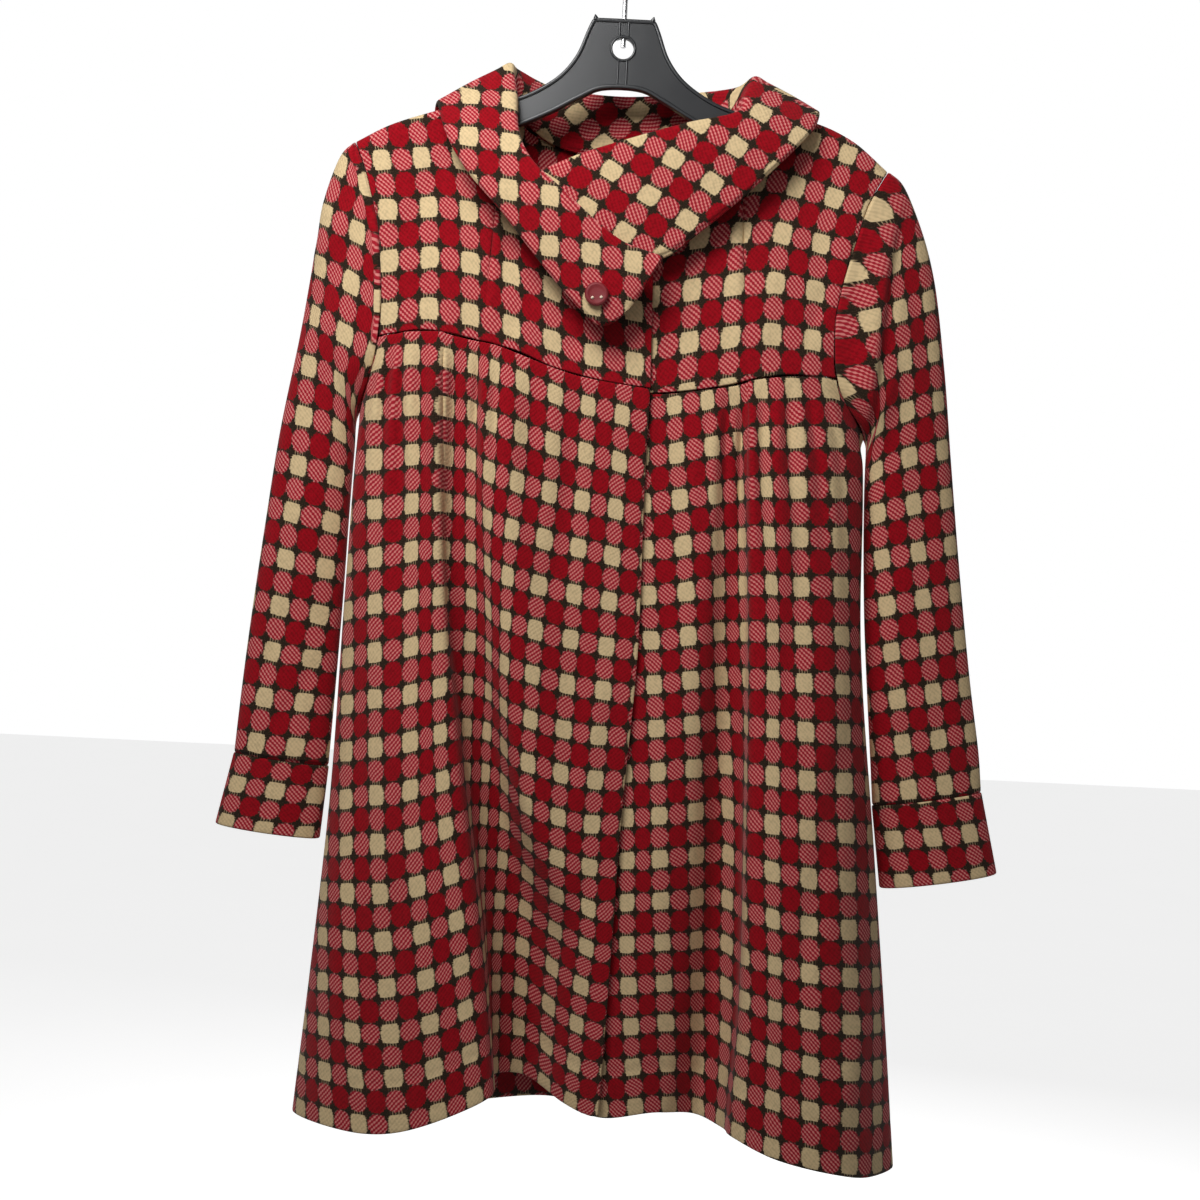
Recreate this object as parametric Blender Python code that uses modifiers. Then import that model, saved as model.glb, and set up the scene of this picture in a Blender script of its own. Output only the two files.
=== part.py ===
"""Swing coat hanging on a black plastic hanger, at real size.

Frame: metres, +Z up, the coat's front faces -Y, the viewer's right is +X.
The origin is the inner top of the hanger's hook, where a rod or a nail holds it.
Tables are in millimetres. Left and right in names are the wearer's, so the
wearer's right front (its side is -1) stands at negative X and laps over.
"""
import math

import bmesh
import bpy
import numpy as np
from mathutils import Vector

MM = 0.001

# Cloth
CLOTH = 2.5             # wall of a wool panel
COLLAR_CLOTH = 3.5      # two layers of the collar pressed together
SEAM = 0.3              # gap between two sewn pieces
TIP_SPREAD = 0.6        # more room between sleeve and body where both turn over the shoulder
ARM_ROUND = 9.5         # radius of the cloth's turn over the hanger's arm
UNDERARM_SPREAD = 3.7   # how far the sleeve stands off the body under the arm
SMOOTH_ANGLE = 50       # facets that meet at less than this are shaded as one surface

# Hanger
PLATE_THICK = 7.0
PLATE_EDGE = 2.0        # rounding of the plate's edges
WIRE_RADIUS = 1.9
WIRE_BORE_RADIUS = 2.3
HOOK_INNER_RADIUS = 20.0
HOLE_RADIUS = 8.6
HOLE_Z = -98.0
PLATEAU_Z = -75.0
ARM_CLEARANCE = 2.3     # from the arm's top edge to the middle of the cloth on it

# Shoulder line: the middle of the cloth on top of the hanger's arm
SHOULDER = {
    "x": [84, 100, 117, 148, 179, 204, 212],
    "z": [-138, -141.6, -146, -155.5, -167, -181, -188],
}

# Heights of the skirt's sections, as a share of the way from yoke seam to hem
SKIRT_LEVELS = [0.0, 0.11, 0.33, 0.60, 0.80, 1.0]

# One row for each line down the front: X and Y at the six levels, Z at both ends
RIGHT_FRONT_LINES = [
    # name, x at the levels, y at the levels, z of yoke seam, z of hem
    ("edge", [33, 32, 33, 26, 23, 19], [-30, -31, -32, -34, -35, -36], -365, -918),
    ("near", [-25, -25, -18, -8, 13, 11], [-31, -32, -33, -36, -34, -31], -357, -919),
    ("crest_b", [-84, -83, -69, -46, -10, -8], [-32, -40, -42, -38, -26, -20], -338, -914),
    ("recess", [-106, -105, -97, -74, -52, -44], [-31, -30, -26, -10, 2, 6], -334, -901),
    ("foot", [-121, -119, -113, -91, -72, -62], [-31, -32, -30, -20, -10, -8], -331, -898),
    ("crest_a", [-130, -127, -119, -97, -78, -63], [-32, -42, -48, -58, -64, -68], -329, -898),
    ("lobe_1", [-150, -146, -138, -124, -114, -103], [-32, -38, -46, -60, -68, -72], -330, -917),
    ("lobe_2", [-162, -167, -166, -163, -158, -155], [-30, -31, -36, -46, -54, -60], -332, -931),
    ("lobe_3", [-170, -181, -184, -185.5, -189, -193], [-28, -24, -25, -31, -37, -41], -333, -931),
    ("side", [-174, -189, -194, -198.5, -206.5, -216], [-26, -10, -10, -10, -10, -9], -334, -934),
    ("seam", [-176, -191, -194, -197.5, -205.5, -214], [-25, 1, 3, 5, 8, 12], -334, -937),
]
LEFT_FRONT_LINES = [
    ("under", [14, 12, 14, 8, 8, 6], [-25, -26, -26, -26, -25, -24], -368, -920),
    ("edge", [36, 35, 35, 28, 25, 22], [-25, -26, -27, -28, -28, -27], -368, -922),
    ("crest_d", [80, 79, 79, 78, 76, 68], [-32, -36, -36, -30, -24, -20], -363, -918),
    ("recess", [99, 101, 105, 107, 108, 101], [-30, -28, -24, -13, -7, -4], -359, -925),
    ("foot", [106, 107, 113, 117, 119, 113], [-31, -30, -28, -22, -20, -18], -357, -927),
    ("crest_c", [110, 112, 119, 123, 124, 119], [-32, -42, -48, -57, -61, -59], -355, -921),
    ("lobe_1", [134, 137, 148, 154, 157, 149], [-32, -40, -48, -64, -72, -76], -351, -930),
    ("lobe_2", [152, 164, 177, 187, 193, 194], [-30, -34, -42, -56, -66, -74], -350, -940),
    ("lobe_3", [164, 187, 195, 209.5, 218, 224], [-28, -23, -26, -34, -42, -50], -349, -949),
    ("side", [171, 199, 204, 222, 235.5, 248], [-26, -10, -10, -10, -10, -10], -350, -955),
    ("seam", [174, 201, 204, 221, 234.5, 246], [-25, 1, 3, 5, 8, 12], -350, -958),
]

# Gathers under the yoke seams: how many, between which shares of the panel's width
GATHERS = {-1: (10, 0.10, 0.92), 1: (8, 0.20, 0.86)}
GATHER_DEPTH = 2.6
GATHER_PEAK = 0.07      # share of the skirt's length where they stand out most
GATHER_END = 0.34       # and where they have run out
GATHER_DRIFT = (0.9, 5) # how far and how often the gathers wander from even spacing
SKIRT_START = 0.0015    # the skirt's top row and the yoke's last row leave the seam's gap
YOKE_END = 0.9985
SKIRT_SECOND = 0.018
SKIRT_COLUMNS = 43
SIDE_SHARES = [0.06, 0.13, 0.22, 0.32, 0.43, 0.54, 0.65, 0.77, 0.89, 1.0]
ROW_ROOM = 0.03         # share of the armhole kept free of rows above and below the yoke seam
UNDERARM_EASE = 12.0    # height over which the armhole turns into the side seam

# Yokes, from the centre front round the neckline and along the shoulder:
# top and bottom point of each line down the yoke
RIGHT_YOKE_LINES = [
    # name, top x y z, bottom x y z, 1 on the shoulder and 0 on the neckline
    ("edge", (31, -27, -276), (33, -30, -365), 0),
    ("neck_1", (-2, -25, -260), (-4, -31, -361), 0),
    ("neck_2", (-34, -22, -246), (-40, -31, -353), 0),
    ("neck_3", (-62, -17, -218), (-66, -32, -343), 0),
    ("neck_4", (-79, -11, -182), (-84, -32, -338), 0),
    ("neck_5", (-87.5, -11, -148), (-94, -32, -336), 0),
    ("neck_point", (-89, 0, -139), (-100, -32, -335), 1),
    ("shoulder_1", (-117, 0, -146), (-120, -32, -331), 1),
    ("shoulder_2", (-148, 0, -155.5), (-142, -31, -329), 1),
    ("shoulder_3", (-179, 0, -167), (-163, -28, -332), 1),
    ("armhole", (-204, 0, -181), (-176, -25, -334), 1),
]
LEFT_YOKE_LINES = [
    ("edge", (9, -22, -256), (14, -25, -368), 0),
    ("neck_1", (34, -21, -240), (37, -26, -368), 0),
    ("neck_2", (58, -17, -215), (66, -30, -365), 0),
    ("neck_3", (80, -12, -182), (92, -31, -360), 0),
    ("neck_4", (92.5, -9, -149), (103, -32, -357), 0),
    ("neck_point", (94, 0, -140.2), (110, -32, -355), 1),
    ("shoulder_1", (121, 0, -145.5), (124, -32, -352), 1),
    ("shoulder_2", (152, 0, -149.5), (140, -31, -350), 1),
    ("shoulder_3", (181, 0, -162), (158, -29, -350), 1),
    ("armhole", (210, 0, -185), (174, -25, -350), 1),
]

YOKE_COLUMNS = 19
YOKE_PULL = 0.8         # from this share of its width on, the yoke follows the armhole

# Armholes: share of the height, how far the seam bows in over the body, and its depth
ARMHOLE = {
    -1: {"top": (-204, -181), "under": (-191, -392), "yoke_share": 0.725,
         "share": [0, 0.005, 0.017, 0.04, 0.11, 0.22, 0.32, 0.43, 0.57, 0.725, 0.86, 0.95, 1],
         "bow": [0, 0.4, 1.4, 3.2, 8.5, 14, 18.5, 20, 21, 18.6, 11, 4, 0],
         "depth": [0, 4.4, 7.6, 9.6, 13, 17, 20, 22, 24, 25, 18, 9, 0]},
    1: {"top": (210, -185), "under": (201, -392), "yoke_share": 0.797,
        "share": [0, 0.005, 0.017, 0.04, 0.12, 0.28, 0.45, 0.59, 0.70, 0.797, 0.88, 0.95, 1],
        "bow": [0, 0.6, 2.0, 4.4, 12.5, 21.5, 29.5, 33, 32, 28.8, 20, 8, 0],
        "depth": [0, 4.4, 7.6, 9.6, 13, 19, 22, 24, 25, 25, 19, 10, 0]},
}
BACK_ARMHOLE_DEPTH = 0.85
ARMHOLE_ANGLES = [0, 7.5, 15, 22.5, 30, 45, 60, 75, 90, 105, 120, 135, 150, 165, 180]
EDGE_OVER = 0.07        # share of the armhole where the cloth's edge still faces up
EDGE_TURN = (0.78, 0.2) # where the edge starts to face the side, and over which share
EDGE_OUT = 0.3          # how much the edge faces outward between them

# Sleeves: outer and inner line in the front view, and half the tube's depth
SLEEVE_LEVELS = [0, 0.06, 0.13, 0.21, 0.33, 0.46, 0.60, 0.75, 0.90, 1.0]
SLEEVE = {
    -1: {"outer_x": [-204.3, -214.5, -226, -231, -241.5, -253, -262, -270, -275, -277],
         "outer_z": [-181, -192, -226, -262, -336, -408, -488, -568, -630, -660],
         "inner_x": [-194.5, -195.5, -196, -196.3, -197.5, -198.7, -200, -202, -204.3, -205.5],
         "inner_z": [-392, -399, -406, -415, -440, -480, -530, -585, -640, -667],
         "half_depth": [22, 21, 20, 19, 17.5, 16, 15, 14.5, 14, 14]},
    1: {"outer_x": [210.3, 222, 237, 249, 261, 270, 280.5, 293, 303, 306],
        "outer_z": [-185, -195, -226, -262, -330, -404, -488, -576, -636, -664],
        "inner_x": [204.5, 205, 205.5, 205.8, 206.5, 208, 211, 216, 221.5, 224],
        "inner_z": [-392, -399, -406, -416, -442, -482, -534, -592, -650, -678],
        "half_depth": [22, 21, 20, 19, 17.5, 16, 15, 14.5, 14, 14]},
}
SLEEVE_MID_Y = 5.0
SLEEVE_ROWS = [0, 0.03, 0.07, 0.12, 0.18, 0.26, 0.34, 0.44, 0.56, 0.68, 0.84, 1.0]
TUBE_LEVEL = 0.34       # the sleeve is a plain tube from this level down
BOW_LEVELS = (0.36, 0.27)   # the armhole's bow runs out here, less the second at the inner line
CAP_EDGE = (0.7, 0.15)  # from this share of the armhole on, the cap's edge keeps its own normals
CUFF = {
    -1: {"outer": (-289, -716), "inner": (-210, -724)},
    1: {"outer": (321, -727), "inner": (233, -742)},
}
CUFF_CLOTH = 3.2
CUFF_HALF_DEPTH = 15.0
CUFF_ROWS = [0.0, 0.5, 1.0]

# Back: share of the width of each line down it, and its depth at six levels
BACK_SHARES = [0, 0.035, 0.11, 0.19, 0.26, 0.33, 0.41, 0.5, 0.59, 0.67, 0.74, 0.81, 0.89,
               0.965, 1]
BACK_LEVELS = [0.0, 0.10, 0.27, 0.55, 0.78, 1.0]
BACK_TOP = [
    # x, y, z of the shoulder seam and the neckline
    (-204, 0, -181), (-186, 0, -170.3), (-155, 0, -158), (-120, 0, -147), (-92, 0, -139.5),
    (-73, 25, -158), (-38, 38, -168), (3, 41, -171), (45, 38, -166), (79, 25, -155),
    (97, 0, -140.8), (124, 0, -146.3), (157, 0, -151.4), (188, 0, -167), (210, 0, -185),
]
BACK_DEPTHS = [
    [0, 9, 9.5, 9.5, 9.5, 27, 39, 42, 39, 27, 9.5, 9.5, 9.5, 9, 0],
    [0, 17, 19, 20, 23, 29, 34, 36, 34, 29, 23, 20, 19, 17, 0],
    [1, 17, 22, 24, 26, 28, 29, 30, 29, 28, 26, 24, 22, 17, 1],
    [4, 24, 32, 30, 34, 40, 43, 41, 44, 41, 35, 31, 34, 25, 4],
    [8, 35, 46, 40, 45, 59, 66, 58, 65, 62, 48, 41, 48, 36, 8],
    [12, 44, 60, 48, 56, 76, 87, 74, 86, 80, 60, 50, 62, 46, 12],
]
BACK_COLUMNS = 31
BACK_DRIFT = 0.2        # level where the back's width has become that between the side seams
NECK_DEPTH = 8.0        # the back's top is on the neckline where it lies this deep
BACK_HEM = [-937, -939, -941, -942, -943, -944, -944, -944, -945, -946, -947, -949, -951,
            -955, -958]

# Collar, round the neck from its lapping end: neckline, roll and free edge
COLLAR_STATIONS = [
    # name, neckline x y z, roll x y z, edge x y z, outward x y
    ("end", (36, -49.5, -278), (37, -53, -272), (20, -52, -299), (0, -1)),
    ("tip_1", (25, -49.5, -275), (25, -53, -269), (8, -52, -316), (0, -1)),
    ("tip_2", (7, -49.5, -269), (7, -53, -263), (-8, -52, -323), (0, -1)),
    ("front_1", (-11, -49, -258), (-12, -52.5, -250), (-28, -52, -307), (0, -1)),
    ("front_2", (-41, -46, -236), (-42, -50, -224), (-56, -50, -276), (0, -1)),
    ("front_3", (-66, -39, -216), (-66, -44, -201), (-84, -47, -242), (-0.2, -1)),
    ("front_4", (-80, -25, -194), (-78, -33, -176), (-112, -42, -211), (-0.4, -1)),
    ("neck_1", (-83, -11, -151), (-83, -17, -143), (-131, -31, -180), (-0.8, -0.7)),
    ("neck_2", (-89, 0, -131), (-88, 0, -116), (-142, -5, -148), (-1, 0)),
    ("neck_3", (-80, 11, -148), (-82, 16, -115), (-140, 19, -160), (-0.9, 0.5)),
    ("back_1", (-50, 29, -167), (-52, 37, -121), (-86, 47, -190), (-0.3, 1)),
    ("back_2", (3, 36, -174), (2, 41, -124), (5, 53, -197), (0, 1)),
    ("back_3", (57, 29, -165), (57, 37, -120), (92, 47, -188), (0.3, 1)),
    ("neck_4", (85, 10.4, -147), (92, 18, -120), (146, 20, -160), (0.9, 0.5)),
    ("neck_5", (95, 0, -132), (105, 2, -116), (154, -5, -143), (1, 0)),
    ("neck_6", (88, -12, -152), (98, -18, -136), (149, -23, -160), (0.8, -0.7)),
    ("front_5", (84, -22, -174), (90, -30, -154), (130, -35, -184), (0.3, -1)),
    ("front_6", (50, -29, -186), (52, -35, -166), (97, -39, -218), (0, -1)),
    ("front_7", (20, -31, -194), (19, -36, -177), (64, -41, -248), (0, -1)),
    ("front_8", (-18, -32, -206), (-20, -37, -191), (36, -42, -269), (0, -1)),
    ("under_1", (-42, -32, -214), (-45, -37, -202), (6, -41, -263), (0, -1)),
    ("under_2", (-54, -31, -220), (-57, -35, -209), (-18, -39, -254), (0, -1)),
]
ROLL_HALF = 3.6         # half the width of the collar's turn at its roll
ROLL_RISE = 1.0
COLLAR_BELLY = 2.5      # how far the fall stands out between roll and edge
COLLAR_PLACES = [0, 0.2, 0.36, 0.5, 0.75, 1.0]
COLLAR_GRID = (64, 9)

# Button
BUTTON_PLACE = (-11, -56.9, -301)
BUTTON_PROFILE = [(0, 4.0), (4.2, 4.0), (7.0, 3.6), (8.5, 2.8), (9.0, 1.8), (8.6, 0.4), (7.6, 0),
                  (0, 0)]
BUTTON_STEPS = 24

COLLECTION = "swing_coat"


def clear_scene():
    for old in list(bpy.data.objects):
        bpy.data.objects.remove(old, do_unlink=True)


def collection(name):
    made = bpy.data.collections.new(name)
    bpy.context.scene.collection.children.link(made)
    return made


def material(name, color, roughness, metallic=0.0):
    made = bpy.data.materials.new(name)
    made.use_nodes = True
    shader = made.node_tree.nodes["Principled BSDF"]
    shader.inputs["Base Color"].default_value = (*color, 1.0)
    shader.inputs["Roughness"].default_value = roughness
    shader.inputs["Metallic"].default_value = metallic
    return made


def through(knots, values, at, steady=False):
    """A smooth curve through the values at the knots (cubic, slopes from neighbours).

    A steady curve never swings past its knots."""
    knots = np.asarray(knots, float)
    values = np.asarray(values, float)
    at = np.clip(np.asarray(at, float), knots[0], knots[-1])
    steps = np.diff(knots)
    slopes = np.diff(values, axis=0) / steps.reshape((-1,) + (1,) * (values.ndim - 1))
    tangents = np.empty_like(values)
    tangents[0] = slopes[0]
    tangents[-1] = slopes[-1]
    for k in range(1, len(knots) - 1):
        before, after = steps[k - 1], steps[k]
        tangents[k] = (slopes[k - 1] * after + slopes[k] * before) / (before + after)
    if steady:
        for k in range(1, len(knots) - 1):
            least = 2 * np.minimum(np.abs(slopes[k - 1]), np.abs(slopes[k]))
            turning = slopes[k - 1] * slopes[k] <= 0
            tangents[k] = np.where(turning, 0, np.clip(tangents[k], -least, least))
    cell = np.clip(np.searchsorted(knots, at, side="right") - 1, 0, len(knots) - 2)
    width = steps[cell]
    local = (at - knots[cell]) / width
    shape = local.shape + (1,) * (values.ndim - 1)
    local = local.reshape(shape)
    width = width.reshape(shape)
    square, cube = local ** 2, local ** 3
    return ((2 * cube - 3 * square + 1) * values[cell]
            + (cube - 2 * square + local) * width * tangents[cell]
            + (3 * square - 2 * cube) * values[cell + 1]
            + (cube - square) * width * tangents[cell + 1])


def smooth_step(value):
    value = np.clip(value, 0.0, 1.0)
    return value * value * (3 - 2 * value)


def unit(vectors):
    return vectors / np.maximum(np.linalg.norm(vectors, axis=-1, keepdims=True), 1e-9)


def surface_normals(grid, ring):
    """Normals of a grid of points (row, column, xyz), by differences along both ways."""
    down = np.gradient(grid, axis=0)
    if ring:
        across = np.roll(grid, -1, axis=1) - np.roll(grid, 1, axis=1)
    else:
        across = np.gradient(grid, axis=1)
    return unit(np.cross(across, down))


def wall(name, grid, thick, look, group, ring=False, fixed=None, flip=False):
    """A closed wall of cloth about a grid of middle points (row, column, xyz in mm).

    fixed maps "top", "bottom", "first" or "last" to how far the normals of that border
    turn to which directions, so that two pieces sewn together share them there and
    their edges stay apart."""
    normals = surface_normals(grid, ring)
    if flip:
        normals = -normals
    borders = {"top": (0, slice(None)), "bottom": (-1, slice(None)),
               "first": (slice(None), 0), "last": (slice(None), -1)}
    for border, (share, direction) in (fixed or {}).items():
        share = np.asarray(share, float)[..., None]
        own = normals[borders[border]]
        normals[borders[border]] = unit(own * (1 - share) + unit(direction) * share)
    rows, columns = grid.shape[:2]
    mesh = bmesh.new()
    sides = []
    for way in (0.5, -0.5):
        points = (grid + normals * thick * way) * MM
        sides.append([[mesh.verts.new(points[i, j]) for j in range(columns)]
                      for i in range(rows)])
    outer, inner = sides
    last = columns if ring else columns - 1
    for i in range(rows - 1):
        for j in range(last):
            k = (j + 1) % columns
            mesh.faces.new((outer[i][j], outer[i + 1][j], outer[i + 1][k], outer[i][k]))
            mesh.faces.new((inner[i][j], inner[i][k], inner[i + 1][k], inner[i + 1][j]))
    for j in range(last):
        k = (j + 1) % columns
        mesh.faces.new((outer[0][j], outer[0][k], inner[0][k], inner[0][j]))
        mesh.faces.new((outer[-1][k], outer[-1][j], inner[-1][j], inner[-1][k]))
    if not ring:
        for i in range(rows - 1):
            mesh.faces.new((outer[i + 1][0], outer[i][0], inner[i][0], inner[i + 1][0]))
            mesh.faces.new((outer[i][-1], outer[i + 1][-1], inner[i + 1][-1], inner[i][-1]))
    bmesh.ops.recalc_face_normals(mesh, faces=mesh.faces)
    data = bpy.data.meshes.new(name)
    mesh.to_mesh(data)
    mesh.free()
    data.shade_smooth()
    data.set_sharp_from_angle(angle=math.radians(SMOOTH_ANGLE))
    made = bpy.data.objects.new(name, data)
    made.data.materials.append(look)
    group.objects.link(made)
    return made


def front_lines(side):
    return RIGHT_FRONT_LINES if side < 0 else LEFT_FRONT_LINES


def yoke_lines(side):
    return RIGHT_YOKE_LINES if side < 0 else LEFT_YOKE_LINES


def reaches(points):
    """Share of a broken line's length at each of its points."""
    steps = np.linalg.norm(np.diff(points, axis=0), axis=1)
    lengths = np.concatenate([[0], np.cumsum(steps)])
    return lengths / lengths[-1]


def armhole(side, share, back=False):
    """A point of the armhole seam, from the shoulder tip (0) to the underarm (1)."""
    table = ARMHOLE[side]
    share = np.asarray(share, float)
    bow = through(table["share"], table["bow"], share, steady=True)
    depth = through(table["share"], table["depth"], share, steady=True)
    x = table["top"][0] + (table["under"][0] - table["top"][0]) * share - side * bow
    z = table["top"][1] + (table["under"][1] - table["top"][1]) * share
    y = depth * BACK_ARMHOLE_DEPTH if back else -depth
    return np.stack([x, y, z], axis=-1)


def armhole_shares():
    """Shares of the armhole's height where the sleeve's ring and the body's rows meet."""
    return (1 - np.cos(np.radians(ARMHOLE_ANGLES))) / 2


def ring_angles():
    """Angles round a sleeve: down its front, then up its back."""
    front = np.radians(ARMHOLE_ANGLES)
    return np.concatenate([front, 2 * math.pi - front[-2:0:-1]])


def edge_direction(side, z, back=False):
    """Outward direction of the cloth along the armhole and the side seam at height z."""
    table = ARMHOLE[side]
    top, under = table["top"][1], table["under"][1]
    share = np.clip((np.asarray(z, float) - top) / (under - top), 0, 1)
    facing = 1.0 if back else -1.0
    over = 1 - smooth_step(share / EDGE_OVER)[..., None]
    below = smooth_step((share - EDGE_TURN[0]) / EDGE_TURN[1])[..., None]
    level = np.array([side * EDGE_OUT, facing, 0.0]) * (1 - below)
    level = level + np.array([side, 0.0, 0.0]) * below
    return unit(level * (1 - over) + np.array([0.0, 0.0, 1.0]) * over)


def side_seam(side, down):
    """The side seam from the underarm (0) to the hem (1)."""
    _, x, y, top, hem = front_lines(side)[-1]
    start = ARMHOLE[side]["under"][1]
    z = start + (hem - start) * np.asarray(down, float)
    level = (z - top) / (hem - top)
    place_x = through(SKIRT_LEVELS, x, level, steady=True)
    place_y = through(SKIRT_LEVELS, y, level, steady=True)
    return np.stack([place_x, place_y, z], axis=-1)


def body_side(side, z, back=False):
    """The edge of a front or the back at height z: armhole above, side seam below."""
    table = ARMHOLE[side]
    top, under = table["top"][1], table["under"][1]
    hem = front_lines(side)[-1][4]
    z = np.asarray(z, float)
    upper = armhole(side, np.clip((z - top) / (under - top), 0, 1), back)
    lower = side_seam(side, np.clip((z - under) / (hem - under), 0, 1))
    ease = smooth_step((under - z) / UNDERARM_EASE)[..., None]
    joined = np.where((z > under)[..., None], upper, lower * ease + upper * (1 - ease))
    joined[..., 2] = z
    return joined


def skirt_grid(side, shares, levels):
    """The lower front, from its centre edge (share 0) to its side (share 1)."""
    levels = np.asarray(levels, float)
    points = []
    for _, x, y, top, hem in front_lines(side):
        points.append(np.stack([through(SKIRT_LEVELS, x, levels, steady=True),
                                through(SKIRT_LEVELS, y, levels, steady=True),
                                top + (hem - top) * levels], axis=-1))
    points[-1] = body_side(side, points[-1][:, 2])
    points = np.stack(points, axis=1)
    reach = reaches(points[len(levels) // 2])
    grid = np.stack([through(reach, row, shares) for row in points])
    count, start, end = GATHERS[side]
    along = np.clip((np.asarray(shares) - start) / (end - start), 0, 1)
    far, often = GATHER_DRIFT
    phase = 2 * math.pi * count * along + far * np.sin(often * along)
    wave = np.sqrt(np.sin(math.pi * along)) * np.cos(phase)
    rise = smooth_step(levels / GATHER_PEAK)
    fade = 1 - smooth_step((levels - GATHER_PEAK) / (GATHER_END - GATHER_PEAK))
    grid[:, :, 1] -= GATHER_DEPTH * np.outer(rise * fade, wave)
    return grid


def yoke_grid(side, shares, levels):
    """The yoke, from its centre edge (share 0) to the armhole (share 1)."""
    lines = yoke_lines(side)
    top = np.array([line[1] for line in lines], float)
    bottom = np.array([line[2] for line in lines], float)
    reach = reaches(top)
    top = through(reach, top, shares)
    bottom = through(reach, bottom, shares)
    rounding = ARM_ROUND * shoulder_share(side, shares)
    rows = []
    for level in levels:
        row = top + (bottom - top) * level
        drop = np.maximum((top - row)[:, 2], 0.0)
        radius = np.maximum(rounding, 1e-6)
        turn = np.sqrt(np.maximum(radius ** 2 - np.maximum(radius - drop, 0) ** 2, 0))
        length = np.maximum((top - bottom)[:, 2] - radius, 1.0)
        rest = np.clip((drop - radius) / length, 0, 1)
        flat = top[:, 1] + (bottom[:, 1] - top[:, 1]) * level
        turned = -turn + (bottom[:, 1] + radius) * rest
        share = rounding / ARM_ROUND
        row[:, 1] = flat * (1 - share) + turned * share
        rows.append(row)
    grid = np.stack(rows)
    table = ARMHOLE[side]
    seam = armhole(side, np.asarray(levels) * table["yoke_share"])
    shift = seam - grid[:, -1]
    pull = smooth_step((np.asarray(shares) - YOKE_PULL) / (1 - YOKE_PULL))
    grid += shift[:, None, :] * pull[None, :, None]
    return grid


def shoulder_share(side, shares):
    """How far each place across the yoke lies on the shoulder, not on the neckline."""
    lines = yoke_lines(side)
    reach = reaches(np.array([line[1] for line in lines], float))
    return smooth_step(np.interp(shares, reach, [line[3] for line in lines]))


def edge_rows(side, lower):
    """Heights of the back's rows at one edge: the armhole's, then shares of the side seam."""
    table = ARMHOLE[side]
    top, under = table["top"][1], table["under"][1]
    hem = front_lines(side)[-1][4]
    upper = top + (under - top) * armhole_shares()
    return np.concatenate([upper, under + (hem - under) * np.asarray(lower)])


def back_grid(shares, lower):
    """The back, from its left edge as the viewer sees it to its right edge."""
    top = np.array(BACK_TOP, float)
    hem = np.array(BACK_HEM, float)
    depths = np.array(BACK_DEPTHS, float)
    spots = np.array(BACK_SHARES)
    left = body_side(-1, edge_rows(-1, lower), back=True)
    right = body_side(1, edge_rows(1, lower), back=True)
    on_arm = np.abs(top[:, 1]) < 1
    rows = []
    for first, last in zip(left, right):
        level_left = (first[2] - top[0, 2]) / (hem[0] - top[0, 2])
        level_right = (last[2] - top[-1, 2]) / (hem[-1] - top[-1, 2])
        level = level_left + (level_right - level_left) * spots
        depth = np.array([through(BACK_LEVELS, depths[:, k], level[k], steady=True)
                          for k in range(len(spots))])
        drift = smooth_step(level / BACK_DRIFT)
        x = top[:, 0] * (1 - drift) + (first[0] + (last[0] - first[0]) * spots) * drift
        z = top[:, 2] + (hem - top[:, 2]) * level
        over = np.maximum(ARM_ROUND - (top[:, 2] - z), 0)
        turn = np.sqrt(np.maximum(ARM_ROUND ** 2 - over ** 2, 0))
        start = np.minimum(depth, ARM_ROUND)
        y = np.where(on_arm, depth - start + np.minimum(turn, start), depth)
        row = np.stack([x, y, z], axis=-1)
        row[0] = first
        row[-1] = last
        rows.append(through(spots, row, shares))
    grid = np.stack(rows)
    grid[0, :, 1] = through(spots, top[:, 1], shares, steady=True)
    return grid


def sleeve_frame(side, levels):
    table = SLEEVE[side]
    outer = np.stack([through(SLEEVE_LEVELS, table["outer_x"], levels, steady=True),
                      through(SLEEVE_LEVELS, table["outer_z"], levels, steady=True)], axis=-1)
    inner = np.stack([through(SLEEVE_LEVELS, table["inner_x"], levels, steady=True),
                      through(SLEEVE_LEVELS, table["inner_z"], levels, steady=True)], axis=-1)
    half = through(SLEEVE_LEVELS, table["half_depth"], levels)
    return outer, inner, half


def sleeve_grid(side, angles, levels):
    """The sleeve as rings: angle 0 on its outer line, pi on its inner line, past pi at the back."""
    levels = np.asarray(levels, float)
    outer, inner, half = sleeve_frame(side, levels)
    angles = np.asarray(angles, float)
    share = (1 - np.cos(angles)) / 2
    front = np.where(angles <= math.pi, -1.0, BACK_ARMHOLE_DEPTH)
    seam = armhole(side, share)
    seam[:, 0] += side * (SEAM + TIP_SPREAD * (1 - share) ** 8 + UNDERARM_SPREAD * share ** 5)
    first_outer, first_inner, _ = sleeve_frame(side, np.array([0.0]))
    straight = first_outer[0, 0] + (first_inner[0, 0] - first_outer[0, 0]) * share
    bow = seam[:, 0] - straight
    rows = []
    for i, level in enumerate(levels):
        x = outer[i, 0] + (inner[i, 0] - outer[i, 0]) * share
        z = outer[i, 1] + (inner[i, 1] - outer[i, 1]) * share
        tube = smooth_step(level / TUBE_LEVEL)
        tube_x = smooth_step(level / (BOW_LEVELS[0] - BOW_LEVELS[1] * share))
        y = (1 - tube) * -seam[:, 1] * front + tube * (SLEEVE_MID_Y - half[i] * np.sin(angles))
        rows.append(np.stack([x + (1 - tube_x) * bow, y, z], axis=-1))
    return np.stack(rows)


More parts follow.
